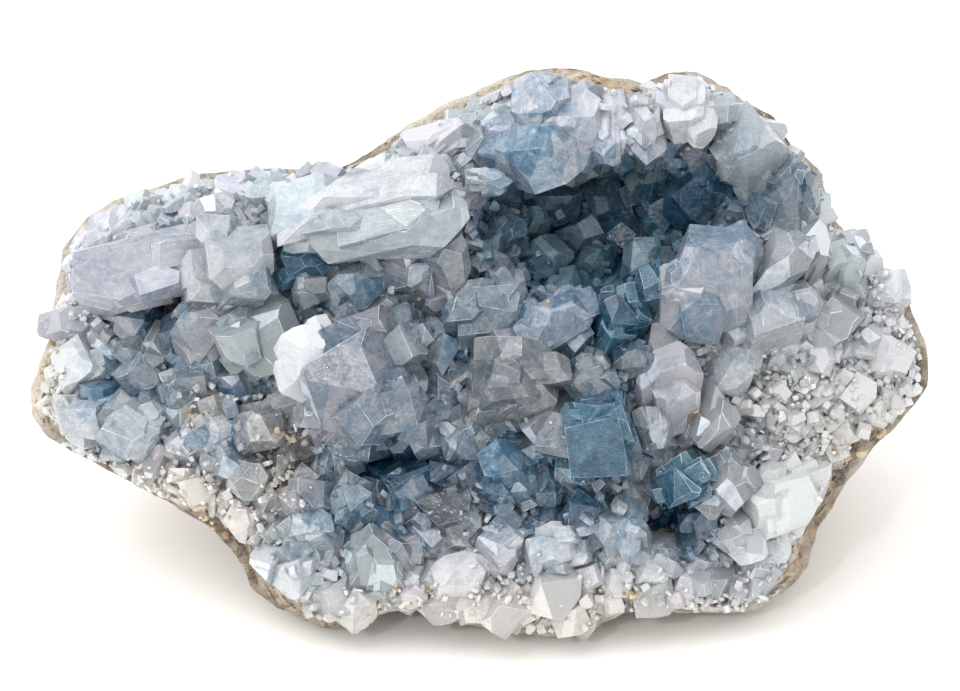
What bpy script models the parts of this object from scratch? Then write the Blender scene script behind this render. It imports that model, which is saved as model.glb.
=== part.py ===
"""Celestite crystal cluster: a broken piece of a geode, lying on its rock rind.

The rind is a thick rough bowl. A crust of celestite grows on its hollow side, as a mound of
blocky crystals, and the crystals of the deep hollow at the upper right are a crust of their own.

The crystal side is laid out in the face frame, in millimetres: across runs to the right, up runs
up the face, and out runs out of it. The face leans back by LEAN. World units are metres, +Z up.
"""

import math

import bmesh
import bpy
import numpy as np
from mathutils import Matrix, Vector

MM = 0.001

# How the face stands
LEAN = math.radians(32)  # the face leans back from upright
FACE_MIDDLE = Vector((0.07, -2.28, 38.0))  # where the face's origin is in the world, mm

# The rind
RIND_BACK = -35.0  # how far behind the face the rind reaches, mm
RIND_LIP = 1.2  # how far the rind's broken edge stands proud of its bowl, mm
COLUMNS = 42  # steps round the outline
BOWL_RINGS = (0.22, 0.4, 0.55, 0.7, 0.84, 0.93)  # as shares of the outline
LIP_RING = 0.97
BACK_RINGS = 8

# The crust
CRUST_DEPTH = 5.0  # thickness between the bowl and the roots of the crystals, mm
CRUST_EDGE = 0.985  # the crust's outline, as a share of the rind's
CRUST_ROOT = 2.0  # how far the crust's blank dips into the rind before it is trimmed, mm
GAP = 0.35  # air between touching pieces, mm
WELD = 2e-6  # corners closer than this are one corner, m

# The hollow
HOLLOW_PLACE = (19.0, 19.5)
HOLLOW_REACH = (24.0, 14.5)  # half width and half height of its mouth, mm
HOLLOW_DEPTH = 27.0
HOLLOW_MOUTH = 3.0  # the hollow's own crust ends at this height, mm

# Crystals between the named ones
FILLER_COUNT = 19
RIM_COUNT = 20  # crystals along the lower edge
RIM_SPAN = (202, 342)  # from the left tip to the right side, degrees round the face
FILLER_SEED = 11
FILLER_SPACING = 7.6

# The broken outline, seen square to the face: across and up, mm
OUTLINE = (
    (74.2, -4.5), (73.4, 0.8), (71.0, 6.7), (67.0, 12.5), (61.8, 16.6), (58.2, 21.4),
    (56.5, 28.0), (51.5, 33.5), (48.6, 38.0), (43.8, 40.6), (38.8, 43.4), (34.6, 45.4),
    (31.6, 45.3), (26.8, 43.3), (21.7, 44.1), (15.0, 45.8), (8.4, 45.5), (3.3, 44.0),
    (-1.7, 41.5), (-8.4, 38.3), (-15.0, 34.1), (-20.1, 30.4), (-24.2, 28.8), (-30.1, 29.1),
    (-38.5, 29.1), (-46.0, 28.1), (-52.7, 26.3), (-60.2, 24.2), (-65.5, 20.9), (-69.0, 15.9),
    (-70.2, 9.2), (-70.9, 0.8), (-74.0, -6.7), (-73.8, -10.9), (-71.1, -15.2), (-65.2, -18.4),
    (-58.5, -21.6), (-50.2, -25.9), (-44.3, -29.6), (-40.1, -33.4), (-37.1, -39.0),
    (-32.6, -42.6), (-25.1, -45.8), (-18.4, -44.6), (-12.5, -42.6), (-6.7, -44.0),
    (1.7, -46.0), (11.7, -47.2), (18.4, -46.0), (22.6, -43.6), (28.4, -42.6), (36.8, -43.6),
    (43.5, -43.6), (49.3, -40.6), (53.5, -35.9), (55.5, -29.3), (60.2, -22.6), (65.2, -16.2),
    (70.2, -11.2), (73.4, -7.2),
)

# Swellings and pits of the bowl: across, up, half width, half height, rise (mm)
SWELLINGS = (
    (-48.0, 15.0, 22.0, 14.0, 5.0),  # brow at the left
    (-16.0, 22.0, 24.0, 11.0, 6.0),  # the long crystal's ledge
    (-16.0, -6.0, 18.0, 14.0, 4.0),  # middle mound
    (18.0, -14.0, 18.0, 11.0, 4.5),  # ledge under the hollow
    (42.0, 10.0, 16.0, 15.0, 4.0),  # right shoulder
    (24.0, 39.0, 26.0, 9.0, 5.0),  # roof of the hollow
    (-50.5, 5.0, 6.5, 6.0, -8.0),  # pit under the brow
    (-13.0, -19.0, 10.0, 5.0, -5.0),  # pit under the middle block
    (30.0, -27.5, 7.0, 7.5, -8.0),  # pit at the lower right
)

# The crystals that can be told apart, each by what it looks like.
# Place of the middle across and up the face, lift of the middle above the crust,
# length, width, thickness (mm); tilt away from straight out, heading of that tilt
# (0 is right, 90 is up), turn about its own length (degrees); habit.
NAMED_CRYSTALS = (
    # brow at the left
    (-56.6, 12.5, 2.6, 25.0, 14.0, 10.0, 74, 192, 16, "chisel"),
    (-46.0, 23.0, 1.0, 13.0, 12.0, 9.0, 30, 110, 15, "block"),
    (-39.5, 13.5, 3.0, 15.0, 13.5, 12.0, 24, 60, 8, "block"),
    (-34.5, 1.6, 4.0, 15.0, 13.0, 11.0, 25, 320, 30, "chisel"),
    (-44.2, 2.8, 3.0, 12.0, 9.0, 8.0, 20, 200, 50, "block"),
    (-67.6, 3.6, 1.0, 9.0, 6.5, 6.0, 45, 185, 15, "point"),
    (-55.5, -3.5, 2.0, 12.0, 9.0, 8.0, 35, 250, 40, "chisel"),
    (-47.5, -6.4, 1.5, 11.0, 7.0, 7.0, 18, 300, 10, "block"),
    (-62.6, -11.4, 2.0, 12.0, 11.0, 8.0, 40, 215, 5, "block"),
    (-56.5, -13.0, 3.5, 13.0, 10.0, 8.0, 30, 240, 60, "chisel"),
    (-52.6, -18.4, 1.5, 9.0, 6.0, 5.0, 40, 260, 0, "point"),
    (-43.5, -14.2, 1.0, 10.0, 8.0, 6.0, 30, 60, 30, "block"),
    # the long pale crystal above the middle, and what it lies on
    (-18.0, 25.4, 4.6, 31.0, 9.0, 8.4, 76, 12, 8, "chisel"),
    (-13.4, 20.2, 5.0, 28.0, 10.0, 8.6, 74, 7, 34, "chisel"),
    (-27.0, 21.0, 2.5, 15.0, 13.0, 10.0, 40, 150, 10, "block"),
    (-8.2, 14.2, 4.0, 16.0, 9.0, 9.0, 62, 350, 30, "block"),
    (1.6, 26.2, 7.6, 8.0, 3.6, 3.4, 78, 2, 0, "point"),
    (4.2, 17.4, 6.0, 13.0, 6.6, 5.4, 55, 62, 20, "point"),
    (-8.0, 33.0, 0.5, 11.0, 10.0, 8.0, 30, 110, 40, "block"),
    # roof of the hollow
    (10.6, 32.4, 5.4, 18.0, 15.5, 12.0, 40, 266, 25, "chisel"),
    (20.4, 33.8, 4.0, 16.0, 6.0, 5.4, 48, 268, 10, "chisel"),
    (26.4, 34.2, 4.4, 17.0, 6.4, 5.6, 44, 276, 40, "point"),
    (33.0, 37.0, 3.0, 13.0, 7.6, 6.0, 40, 262, 5, "chisel"),
    (38.6, 37.8, 1.6, 12.0, 7.0, 6.4, 20, 250, 0, "block"),
    (44.6, 31.2, 3.8, 15.0, 12.0, 9.0, 34, 290, 35, "block"),
    (50.4, 33.8, 1.0, 8.0, 5.0, 4.6, 52, 55, 20, "block"),
    (55.0, 28.6, 2.0, 14.0, 9.0, 8.0, 62, 12, 10, "chisel"),
    (48.4, 22.8, 2.0, 14.0, 12.5, 9.0, 26, 330, 60, "block"),
    (57.6, 22.4, 1.0, 9.0, 6.0, 6.0, 55, 350, 0, "block"),
    (52.6, 33.0, 1.5, 10.0, 6.0, 6.0, 40, 40, 45, "block"),
    # the prisms at the right
    (36.9, 11.6, 8.0, 20.0, 12.6, 10.5, 44, 92, 4, "chisel"),
    (47.8, 12.4, 7.4, 21.0, 6.6, 5.8, 46, 58, 35, "point"),
    (53.2, 14.2, 6.0, 19.0, 5.6, 5.0, 44, 82, 70, "point"),
    (57.0, 12.6, 3.0, 15.0, 7.6, 6.6, 40, 60, 15, "chisel"),
    (61.2, 15.6, 1.5, 10.0, 6.0, 6.0, 46, 45, 0, "block"),
    (47.0, 4.6, 3.0, 13.0, 12.0, 9.0, 28, 80, 20, "block"),
    (57.0, 3.8, 2.4, 13.0, 9.0, 8.0, 30, 40, 50, "chisel"),
    (66.6, 9.4, 1.0, 8.0, 6.0, 5.6, 46, 20, 10, "block"),
    (30.4, 13.2, 4.0, 9.0, 4.8, 4.6, 50, 84, 0, "point"),
    # middle
    (-18.8, -5.4, 7.0, 20.0, 17.5, 15.0, 26, 205, 32, "block"),
    (-29.4, 13.4, 2.0, 12.0, 8.0, 8.0, 20, 20, 25, "block"),
    (-26.6, 9.6, 3.2, 8.0, 6.0, 5.6, 24, 300, 10, "chisel"),
    (-18.6, 9.6, 2.0, 12.0, 10.0, 8.0, 26, 80, 45, "chisel"),
    (-6.0, 7.6, 2.6, 12.0, 8.0, 7.6, 24, 110, 15, "point"),
    (1.4, 4.2, 4.0, 14.0, 11.0, 8.0, 30, 96, 0, "block"),
    (5.2, -4.0, 6.0, 17.0, 16.0, 11.0, 30, 92, 8, "chisel"),
    (11.8, 2.6, 4.0, 13.0, 12.0, 9.0, 30, 70, 30, "block"),
    (21.8, 4.0, 3.6, 12.0, 8.0, 6.6, 34, 60, 10, "block"),
    (17.6, -5.8, 4.0, 12.0, 7.6, 7.0, 20, 250, 35, "chisel"),
    (18.4, -15.2, 7.4, 12.0, 11.0, 10.6, 12, 262, 6, "cube"),
    (31.0, -5.8, 6.0, 18.0, 9.6, 8.4, 42, 96, 20, "chisel"),
    (28.2, -13.8, 5.0, 10.0, 4.8, 4.4, 44, 280, 0, "point"),
    (36.6, -12.2, 4.6, 12.0, 10.0, 4.4, 34, 318, 58, "block"),
    (28.4, 8.6, 4.4, 10.0, 7.0, 5.6, 40, 120, 30, "chisel"),
    (24.4, -2.2, 5.4, 9.0, 6.0, 5.0, 38, 40, 60, "point"),
    (4.2, -20.6, 4.0, 14.0, 8.0, 6.4, 36, 96, 12, "chisel"),
    (10.6, -23.4, 3.6, 8.0, 4.2, 3.8, 30, 262, 0, "chisel"),
    (-34.0, -13.0, 1.0, 11.0, 9.0, 8.0, 26, 200, 15, "block"),
    # lower edge
    (32.8, -22.0, 5.0, 11.0, 8.4, 7.0, 22, 200, 24, "block"),
    (39.0, -22.0, 4.4, 12.0, 9.0, 8.0, 24, 320, 45, "chisel"),
    (49.2, -24.6, 3.0, 13.0, 11.0, 9.0, 30, 340, 15, "block"),
    (42.8, -31.0, 3.6, 12.0, 7.6, 6.6, 40, 300, 10, "point"),
    (-17.0, -34.0, 3.6, 13.0, 7.0, 5.0, 52, 88, 6, "chisel"),
    (-13.6, -33.0, 2.6, 11.0, 4.6, 4.0, 50, 116, 30, "point"),
    (-3.4, -38.2, 1.0, 10.0, 9.6, 7.0, 44, 84, 12, "block"),
    (-19.6, -25.2, 2.0, 9.0, 7.0, 6.0, 30, 96, 40, "point"),
    (-5.8, -25.4, 2.0, 9.0, 8.0, 7.0, 22, 250, 20, "block"),
    (11.8, -32.6, 2.6, 10.0, 9.6, 6.4, 28, 190, 14, "block"),
    (21.8, -30.2, 3.0, 12.0, 7.6, 6.6, 36, 100, 34, "chisel"),
    (27.6, -37.0, 1.0, 9.0, 6.6, 6.0, 30, 96, 0, "block"),
    (3.4, -31.8, 2.2, 10.0, 7.0, 6.4, 30, 80, 40, "chisel"),
    (-27.6, -29.0, 1.6, 10.0, 7.6, 6.6, 36, 120, 10, "chisel"),
)

# The crystals that line the hollow, in the same terms; lift is above the hollow's floor.
HOLLOW_CRYSTALS = (
    (7.0, 20.0, 3.0, 12.0, 7.0, 6.0, 35, 20, 10, "point"),
    (11.0, 13.6, 3.4, 13.0, 7.0, 6.4, 20, 80, 40, "chisel"),
    (11.5, 24.5, 3.0, 13.0, 8.0, 6.0, 30, 290, 0, "block"),
    (16.6, 19.0, 4.0, 13.0, 8.0, 7.0, 8, 20, 25, "block"),
    (19.0, 12.8, 3.0, 12.0, 6.6, 6.0, 24, 100, 60, "point"),
    (20.5, 25.4, 3.4, 13.0, 7.6, 6.4, 26, 266, 15, "chisel"),
    (24.4, 18.6, 4.0, 14.0, 8.0, 7.4, 12, 170, 50, "chisel"),
    (27.6, 12.6, 3.0, 12.0, 7.0, 6.0, 28, 120, 5, "block"),
    (29.6, 25.0, 3.2, 13.0, 7.0, 6.6, 30, 240, 30, "point"),
    (32.4, 18.8, 3.0, 12.0, 7.0, 6.4, 34, 176, 20, "chisel"),
)


def place(points):
    """Points of the face frame, in mm, in the world, in metres."""
    across, up, out = np.asarray(points, float).reshape(-1, 3).T
    right, back, high = FACE_MIDDLE
    return MM * np.column_stack((
        right + across,
        back + up * math.sin(LEAN) - out * math.cos(LEAN),
        high + up * math.cos(LEAN) + out * math.sin(LEAN),
    ))


def smooth_step(value):
    share = np.clip(value, 0, 1)
    return share * share * (3 - 2 * share)


def outline_radius(angle):
    """Distance from the face's origin to the broken outline, in the direction of each angle."""
    corners = np.array(OUTLINE)
    angles = np.arctan2(corners[:, 1], corners[:, 0])
    order = np.argsort(angles)
    reach = np.hypot(*corners[order].T)
    return np.interp(angle, angles[order], reach, period=2 * math.pi)


def swelling(across, up, middle, half):
    """A smooth hill, 1 over its middle and 0 past its half width and half height."""
    away = np.hypot((across - middle[0]) / half[0], (up - middle[1]) / half[1])
    return smooth_step(1.25 * (1 - away))


def bowl(across, up):
    """Height of the rind's bowl out of the face: a leaning dish with swellings, pits and the hollow."""
    across, up = np.asarray(across, float), np.asarray(up, float)
    height = 3.0 - 0.14 * up - 9.0 * (across / 75) ** 2 - 3.0 * (up / 46) ** 2
    for middle_across, middle_up, half_wide, half_high, rise in SWELLINGS:
        height = height + rise * swelling(across, up, (middle_across, middle_up), (half_wide, half_high))
    height = height - HOLLOW_DEPTH * swelling(across, up, HOLLOW_PLACE, HOLLOW_REACH)
    return height


def lumps(x, y, z, size):
    """Rolling unevenness between -1 and 1, from three crossing waves of about that size in mm."""
    return (
        np.sin(x / size + 1.3 + 0.8 * np.sin(z / size))
        + np.sin(y / size * 1.17 + 0.4 + 0.7 * np.sin(x / size * 1.31))
        + np.sin(z / size * 0.93 + 2.1 + 0.9 * np.sin(y / size * 0.87))
    ) / 3


def ring_mesh(name, rings, apexes):
    """A closed mesh from rings of equal count, the first and the last closed by a point each."""
    count = len(rings[0])
    points = np.concatenate([*rings, apexes])
    first_apex, last_apex = len(points) - 2, len(points) - 1
    faces = []
    for ring in range(len(rings) - 1):
        here, there = ring * count, (ring + 1) * count
        for step in range(count):
            ahead = (step + 1) % count
            faces.append((here + step, here + ahead, there + ahead, there + step))
    last_ring = (len(rings) - 1) * count
    for step in range(count):
        ahead = (step + 1) % count
        faces.append((first_apex, ahead, step))
        faces.append((last_apex, last_ring + step, last_ring + ahead))
    mesh = bpy.data.meshes.new(name)
    mesh.from_pydata([Vector(point) for point in place(points)], [], faces)
    built = bmesh.new()
    built.from_mesh(mesh)
    bmesh.ops.triangulate(built, faces=built.faces)
    bmesh.ops.recalc_face_normals(built, faces=built.faces)
    built.to_mesh(mesh)
    built.free()
    return mesh


def new_object(name, mesh):
    made = bpy.data.objects.new(name, mesh)
    bpy.context.scene.collection.objects.link(made)
    return made


def make_helper(made):
    made.hide_render = True
    made.display_type = "WIRE"
    return made


def rind_mesh():
    """The rock: a bowl in front, a proud broken lip, and a lumpy rounded back."""
    angle = np.linspace(0, 2 * math.pi, COLUMNS, endpoint=False)
    reach = outline_radius(angle)
    rings = []
    for share in (*BOWL_RINGS, LIP_RING):
        across, up = share * reach * np.cos(angle), share * reach * np.sin(angle)
        lip = RIND_LIP if share == LIP_RING else 0
        rings.append(np.column_stack((across, up, bowl(across, up) + lip)))
    edge_across, edge_up = reach * np.cos(angle), reach * np.sin(angle)
    edge = bowl(edge_across, edge_up)
    rings.append(np.column_stack((edge_across, edge_up, edge + 0.4 * RIND_LIP)))
    for step in range(1, BACK_RINGS + 1):
        turn = step / (BACK_RINGS + 1) * math.pi / 2
        narrowing = math.cos(turn) ** 0.52
        across, up = narrowing * edge_across, narrowing * edge_up
        out = edge * math.cos(turn) ** 2 + RIND_BACK * math.sin(turn)
        rough = 4.4 * lumps(across, up, out, 9.0) + 1.4 * lumps(up, out, across, 3.7)
        ledge = 1.5 * np.sign(np.sin(out / 4.0 + 1.5 * lumps(across, up, out, 14.0)))
        bulge = float(smooth_step(turn / 0.6)) * (rough + ledge - 3.2)
        swell = 1 + bulge / np.hypot(across, up)
        rings.append(np.column_stack((across * swell, up * swell, out - 1.1 * rough * math.sin(turn))))
    apexes = [(0, 0, bowl(0, 0)), (0, 0, RIND_BACK)]
    return ring_mesh("rind", rings, apexes)


def cut_flat_underneath(mesh):
    """Cuts a mesh at the surface that the specimen lies on, and closes the cut."""
    built = bmesh.new()
    built.from_mesh(mesh)
    everything = built.verts[:] + built.edges[:] + built.faces[:]
    cut = bmesh.ops.bisect_plane(
        built, geom=everything, plane_co=(0, 0, 0), plane_no=(0, 0, -1), clear_outer=True
    )
    rim = [piece for piece in cut["geom_cut"] if isinstance(piece, bmesh.types.BMEdge)]
    bmesh.ops.triangle_fill(built, use_beauty=True, edges=rim)
    bmesh.ops.recalc_face_normals(built, faces=built.faces)
    built.to_mesh(mesh)
    built.free()


def grown(mesh, distance):
    """A copy of a mesh with its surface moved outwards by that distance in mm."""
    copy = mesh.copy()
    normals = [vertex.normal.copy() for vertex in mesh.vertices]
    for vertex, normal in zip(copy.vertices, normals):
        vertex.co += normal * distance * MM
    return copy


def crust_top(across, up):
    """Height of the crust's massive part, between the crystals."""
    away = np.hypot(across, up) / outline_radius(np.arctan2(up, across))
    depth = CRUST_DEPTH * (1 - 0.45 * smooth_step((away - 0.7) / 0.3))
    return bowl(across, up) + depth + 1.1 * lumps(across, up, 0 * up, 2.6)


def crust_blank():
    """A lens that fills the bowl, from below the rind's surface to the roots of the crystals."""
    angle = np.linspace(0, 2 * math.pi, COLUMNS, endpoint=False)
    reach = outline_radius(angle)
    rings = []
    for share in BOWL_RINGS:
        across, up = share * reach * np.cos(angle), share * reach * np.sin(angle)
        rings.append(np.column_stack((across, up, crust_top(across, up))))
    for share, rise in ((CRUST_EDGE, 1.6), (CRUST_EDGE, -CRUST_ROOT)):
        across, up = share * reach * np.cos(angle), share * reach * np.sin(angle)
        rings.append(np.column_stack((across, up, bowl(across, up) + rise)))
    for share in reversed(BOWL_RINGS):
        across, up = share * reach * np.cos(angle), share * reach * np.sin(angle)
        rings.append(np.column_stack((across, up, bowl(across, up) - CRUST_ROOT)))
    apexes = [(0, 0, float(crust_top(0.0, 0.0))), (0, 0, float(bowl(0, 0)) - CRUST_ROOT)]
    return ring_mesh("crust_blank", rings, apexes)


def crystal_faces(habit, half_length, half_width, half_thick):
    """The flat faces that bound a crystal: outward direction, and how far along it the face lies.

    The crystal grows along z. A face's reach is a share of what the bounding block reaches in
    that direction, so a share under 1 cuts that corner or edge of the block away.
    """
    block = Vector((half_width, half_thick, half_length))
    sides = [((1, 0, 0), 1.0), ((-1, 0, 0), 1.0), ((0, 1, 0), 1.0), ((0, -1, 0), 1.0)]
    ends = [((0, 0, 1), 1.0), ((0, 0, -1), 1.0)]
    if habit == "block":
        sides += [((1, -1, 0), 0.84), ((-1, 1, 0), 0.86)]
        ends += [((1, 0, 1.2), 0.86), ((-1, 0, 1.2), 0.78), ((0, -1, 1.1), 0.84)]
    elif habit == "cube":
        sides += [((1, 1, 0), 0.93), ((-1, -1, 0), 0.95)]
        ends += [((1, 0, 1), 0.94), ((0, -1, 1), 0.95)]
    elif habit == "chisel":
        sides += [((1, 1.2, 0), 0.84), ((-1, -1.2, 0), 0.84), ((1, -1.2, 0), 0.86)]
        ends += [((1, 0, 0.8), 0.66), ((-1, 0, 0.8), 0.7), ((0, -1, 0.7), 0.8)]
    elif habit == "point":
        sides = [((x, y, 0), 0.8) for x, y in ((1, 1), (-1, 1), (1, -1), (-1, -1))]
        sides += [((0, 1, 0), 1.0), ((0, -1, 0), 1.0)]
        ends += [((1, 0.2, 0.5), 0.58), ((-1, 0.2, 0.5), 0.6), ((0.2, 1, 0.6), 0.6), ((0, -1, 0.6), 0.64)]
    elif habit == "stub":
        sides += [((1, -1, 0), 0.84)]
        ends += [((1, 0.3, 0.9), 0.74), ((-0.6, 1, 0.9), 0.74), ((-0.4, -1, 0.8), 0.78)]
    faces = sides + ends
    placed = []
    for direction, share in faces:
        direction = Vector(direction).normalized()
        span = sum(abs(along) * half for along, half in zip(direction, block))
        placed.append((direction, share * span))
    return placed


def crystal_frame(tilt, heading, turn):
    """Turns a crystal's own axes to the face frame."""
    tilt, heading, turn = (math.radians(angle) for angle in (tilt, heading, turn))
    lean = Matrix.Rotation(heading, 3, "Z") @ Matrix.Rotation(tilt, 3, "Y")
    return lean @ Matrix.Rotation(turn - heading, 3, "Z")


def crystal_mesh(name, crystal, jitter):
    """A block of the crystal's size, cut by its faces one after another."""
    across, up, lift, length, width, thick, tilt, heading, turn, habit = crystal
    built = bmesh.new()
    bmesh.ops.create_cube(built, size=3 * length)
    for direction, reach in crystal_faces(habit, length / 2, width / 2, thick / 2):
        skew = Vector(jitter.uniform(-0.06, 0.06, 3))
        direction = (direction + skew).normalized()
        reach *= jitter.uniform(0.94, 1.06)
        everything = built.verts[:] + built.edges[:] + built.faces[:]
        cut = bmesh.ops.bisect_plane(
            built, geom=everything, plane_co=direction * reach, plane_no=direction, clear_outer=True
        )
        rim = [piece for piece in cut["geom_cut"] if isinstance(piece, bmesh.types.BMEdge)]
        if rim:
            bmesh.ops.contextual_create(built, geom=rim)
    bmesh.ops.remove_doubles(built, verts=built.verts, dist=0.25)
    bmesh.ops.dissolve_degenerate(built, edges=built.edges, dist=0.05)
    bmesh.ops.triangulate(built, faces=built.faces)
    bmesh.ops.recalc_face_normals(built, faces=built.faces)
    frame = crystal_frame(tilt, heading, turn)
    middle = Vector((across, up, float(crust_top(across, up)) + lift))
    for vertex, point in zip(built.verts, place([frame @ v.co + middle for v in built.verts])):
        vertex.co = point
    mesh = bpy.data.meshes.new(name)
    built.to_mesh(mesh)
    built.free()
    return mesh


def filler_crystals():
    """Smaller crystals for the free places of the crust, in the same terms as the named ones."""
    chance = np.random.default_rng(FILLER_SEED)
    taken = [
        (c[0], c[1], 0.42 * max(c[4], min(c[3], 16.0) * math.sin(math.radians(c[6]))))
        for c in (*NAMED_CRYSTALS, *rim_crystals())
    ]
    found = []
    while len(found) < FILLER_COUNT:
        across, up = chance.uniform(-75, 75), chance.uniform(-47, 47)
        share = math.hypot(across, up) / float(outline_radius(math.atan2(up, across)))
        in_hollow = swelling(across, up, HOLLOW_PLACE, HOLLOW_REACH) > 0
        size = chance.uniform(5.0, 8.0)
        shape = chance.uniform(0.8, 1.2, 2)
        tilt, heading, turn = chance.uniform(5, 38), chance.uniform(0, 360), chance.uniform(0, 90)
        crowded = any(
            math.hypot(across - x, up - y) < max(half + 0.3 * size, 0.5 * FILLER_SPACING)
            for x, y, half in taken
        )
        if share > 0.9 or in_hollow or crowded:
            continue
        if share > 0.72:
            heading = math.degrees(math.atan2(up, across)) + chance.uniform(-50, 50)
        taken.append((across, up, 0.4 * size))
        found.append((
            across, up, 0.16 * size, 1.35 * size, size * shape[0], 0.85 * size * shape[1],
            tilt, heading, turn, "stub",
        ))
    return found


def rim_crystals():
    """Stubby crystals side by side along the lower edge of the crust, leaning outwards."""
    chance = np.random.default_rng(FILLER_SEED + 1)
    found = []
    for degrees in np.linspace(*RIM_SPAN, RIM_COUNT):
        angle = math.radians(degrees + chance.uniform(-2.5, 2.5))
        reach = chance.uniform(0.87, 0.93) * float(outline_radius(angle))
        size = chance.uniform(4.2, 6.8)
        found.append((
            reach * math.cos(angle), reach * math.sin(angle), 0.1 * size, 1.2 * size, size,
            chance.uniform(0.7, 0.95) * size, chance.uniform(15, 45),
            degrees + chance.uniform(-40, 40), chance.uniform(0, 90), "stub",
        ))
    return found


def crystal_collection(name, crystals, seed):
    """Every crystal as a helper object of its own, for one union."""
    jitter = np.random.default_rng(seed)
    group = bpy.data.collections.new(name)
    bpy.context.scene.collection.children.link(group)
    for number, crystal in enumerate(crystals):
        part = f"{name}_{number:03d}"
        made = bpy.data.objects.new(part, crystal_mesh(part, crystal, jitter))
        group.objects.link(make_helper(made))
    return group


def hollow_core(name, margin):
    """A plug over the hollow: its outline on the face, from behind the crust up to the mouth."""
    angle = np.linspace(0, 2 * math.pi, 20, endpoint=False)
    wobble = 1 + 0.06 * np.sin(3 * angle + 0.5)
    across = HOLLOW_PLACE[0] + (0.86 * HOLLOW_REACH[0] * wobble + margin) * np.cos(angle)
    up = HOLLOW_PLACE[1] + (0.8 * HOLLOW_REACH[1] * wobble + margin) * np.sin(angle)
    low, high = RIND_BACK + 2 - margin, HOLLOW_MOUTH + margin
    rings = [np.column_stack((across, up, np.full(20, out))) for out in (high, low)]
    apexes = [(*HOLLOW_PLACE, high), (*HOLLOW_PLACE, low)]
    return make_helper(new_object(name, ring_mesh(name, rings, apexes)))


def boolean(made, operation, other):
    modifier = made.modifiers.new(operation.lower(), "BOOLEAN")
    modifier.operation = operation
    modifier.solver = "EXACT"
    if isinstance(other, bpy.types.Collection):
        modifier.operand_type = "COLLECTION"
        modifier.collection = other
    else:
        modifier.object = other


def settle(made):
    """Applies a piece's modifiers and keeps its one large shell, so no pocket or chip is left."""
    evaluated = made.evaluated_get(bpy.context.evaluated_depsgraph_get())
    built = bmesh.new()
    built.from_mesh(bpy.data.meshes.new_from_object(evaluated))
    bmesh.ops.remove_doubles(built, verts=built.verts, dist=WELD)
    bmesh.ops.dissolve_limit(built, angle_limit=math.radians(1), verts=built.verts, edges=built.edges)
    bmesh.ops.triangulate(built, faces=built.faces)
    bmesh.ops.dissolve_degenerate(built, edges=built.edges, dist=WELD)
    shells, seen = [], set()
    for start in built.faces:
        if start in seen:
            continue
        shell, waiting = [], [start]
        seen.add(start)
        while waiting:
            face = waiting.pop()
            shell.append(face)
            for edge in face.edges:
                for neighbour in edge.link_faces:
                    if neighbour not in seen:
                        seen.add(neighbour)
                        waiting.append(neighbour)
        shells.append(shell)
    shells.sort(key=len)
    for shell in shells[:-1]:
        bmesh.ops.delete(built, geom=shell, context="FACES")
    made.modifiers.clear()
    mesh = bpy.data.meshes.new(made.name)
    built.to_mesh(mesh)
    built.free()
    made.data = mesh


def finish(made, name, colour, roughness, transmission=0.0):
    """Gives a piece its own material."""
    material = bpy.data.materials.new(name)
    material.use_nodes = True
    shader = material.node_tree.nodes["Principled BSDF"]
    shader.inputs["Base Color"].default_value = (*colour, 1)
    shader.inputs["Roughness"].default_value = roughness
    shader.inputs["Metallic"].default_value = 0.0
    shader.inputs["Transmission Weight"].default_value = transmission
    made.data.materials.append(material)


def build():
    for leftover in list(bpy.data.objects):
        bpy.data.objects.remove(leftover)

    rind = new_object("rock_rind", rind_mesh())
    cut_flat_underneath(rind.data)
    finish(rind, "rind", (0.55, 0.50, 0.43), 0.9)

    clearance = make_helper(new_object("rind_clearance", grown(rind.data, GAP)))
    crust = new_object("crystal_crust", crust_blank())
    hollow = new_object("hollow_crust", crust.data.copy())

    boolean(crust, "UNION", crystal_collection("crystal", [*NAMED_CRYSTALS, *rim_crystals(), *filler_crystals()], 3))
    boolean(crust, "DIFFERENCE", hollow_core("core_opening", GAP / 2))
    boolean(crust, "DIFFERENCE", clearance)
    settle(crust)
    finish(crust, "celestite", (0.62, 0.70, 0.78), 0.2, 0.6)

    boolean(hollow, "UNION", crystal_collection("hollow_crystal", HOLLOW_CRYSTALS, 5))
    boolean(hollow, "INTERSECT", hollow_core("core_plug", -GAP / 2))
    boolean(hollow, "DIFFERENCE", clearance)
    settle(hollow)
    finish(hollow, "deep_celestite", (0.30, 0.42, 0.55), 0.2, 0.6)

    for helper in [made for made in bpy.data.objects if made.hide_render]:
        bpy.data.objects.remove(helper)


build()
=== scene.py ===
"""A celestite crystal cluster: pale blue crystals on a leaning bowl of rock rind.

The crystal side is worked out in the face frame, in millimetres: across runs to the right, up runs
up the face, and out runs out of it. place() takes it to the world, in metres, +Z up.
"""

import itertools
import math
from collections import namedtuple

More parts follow.
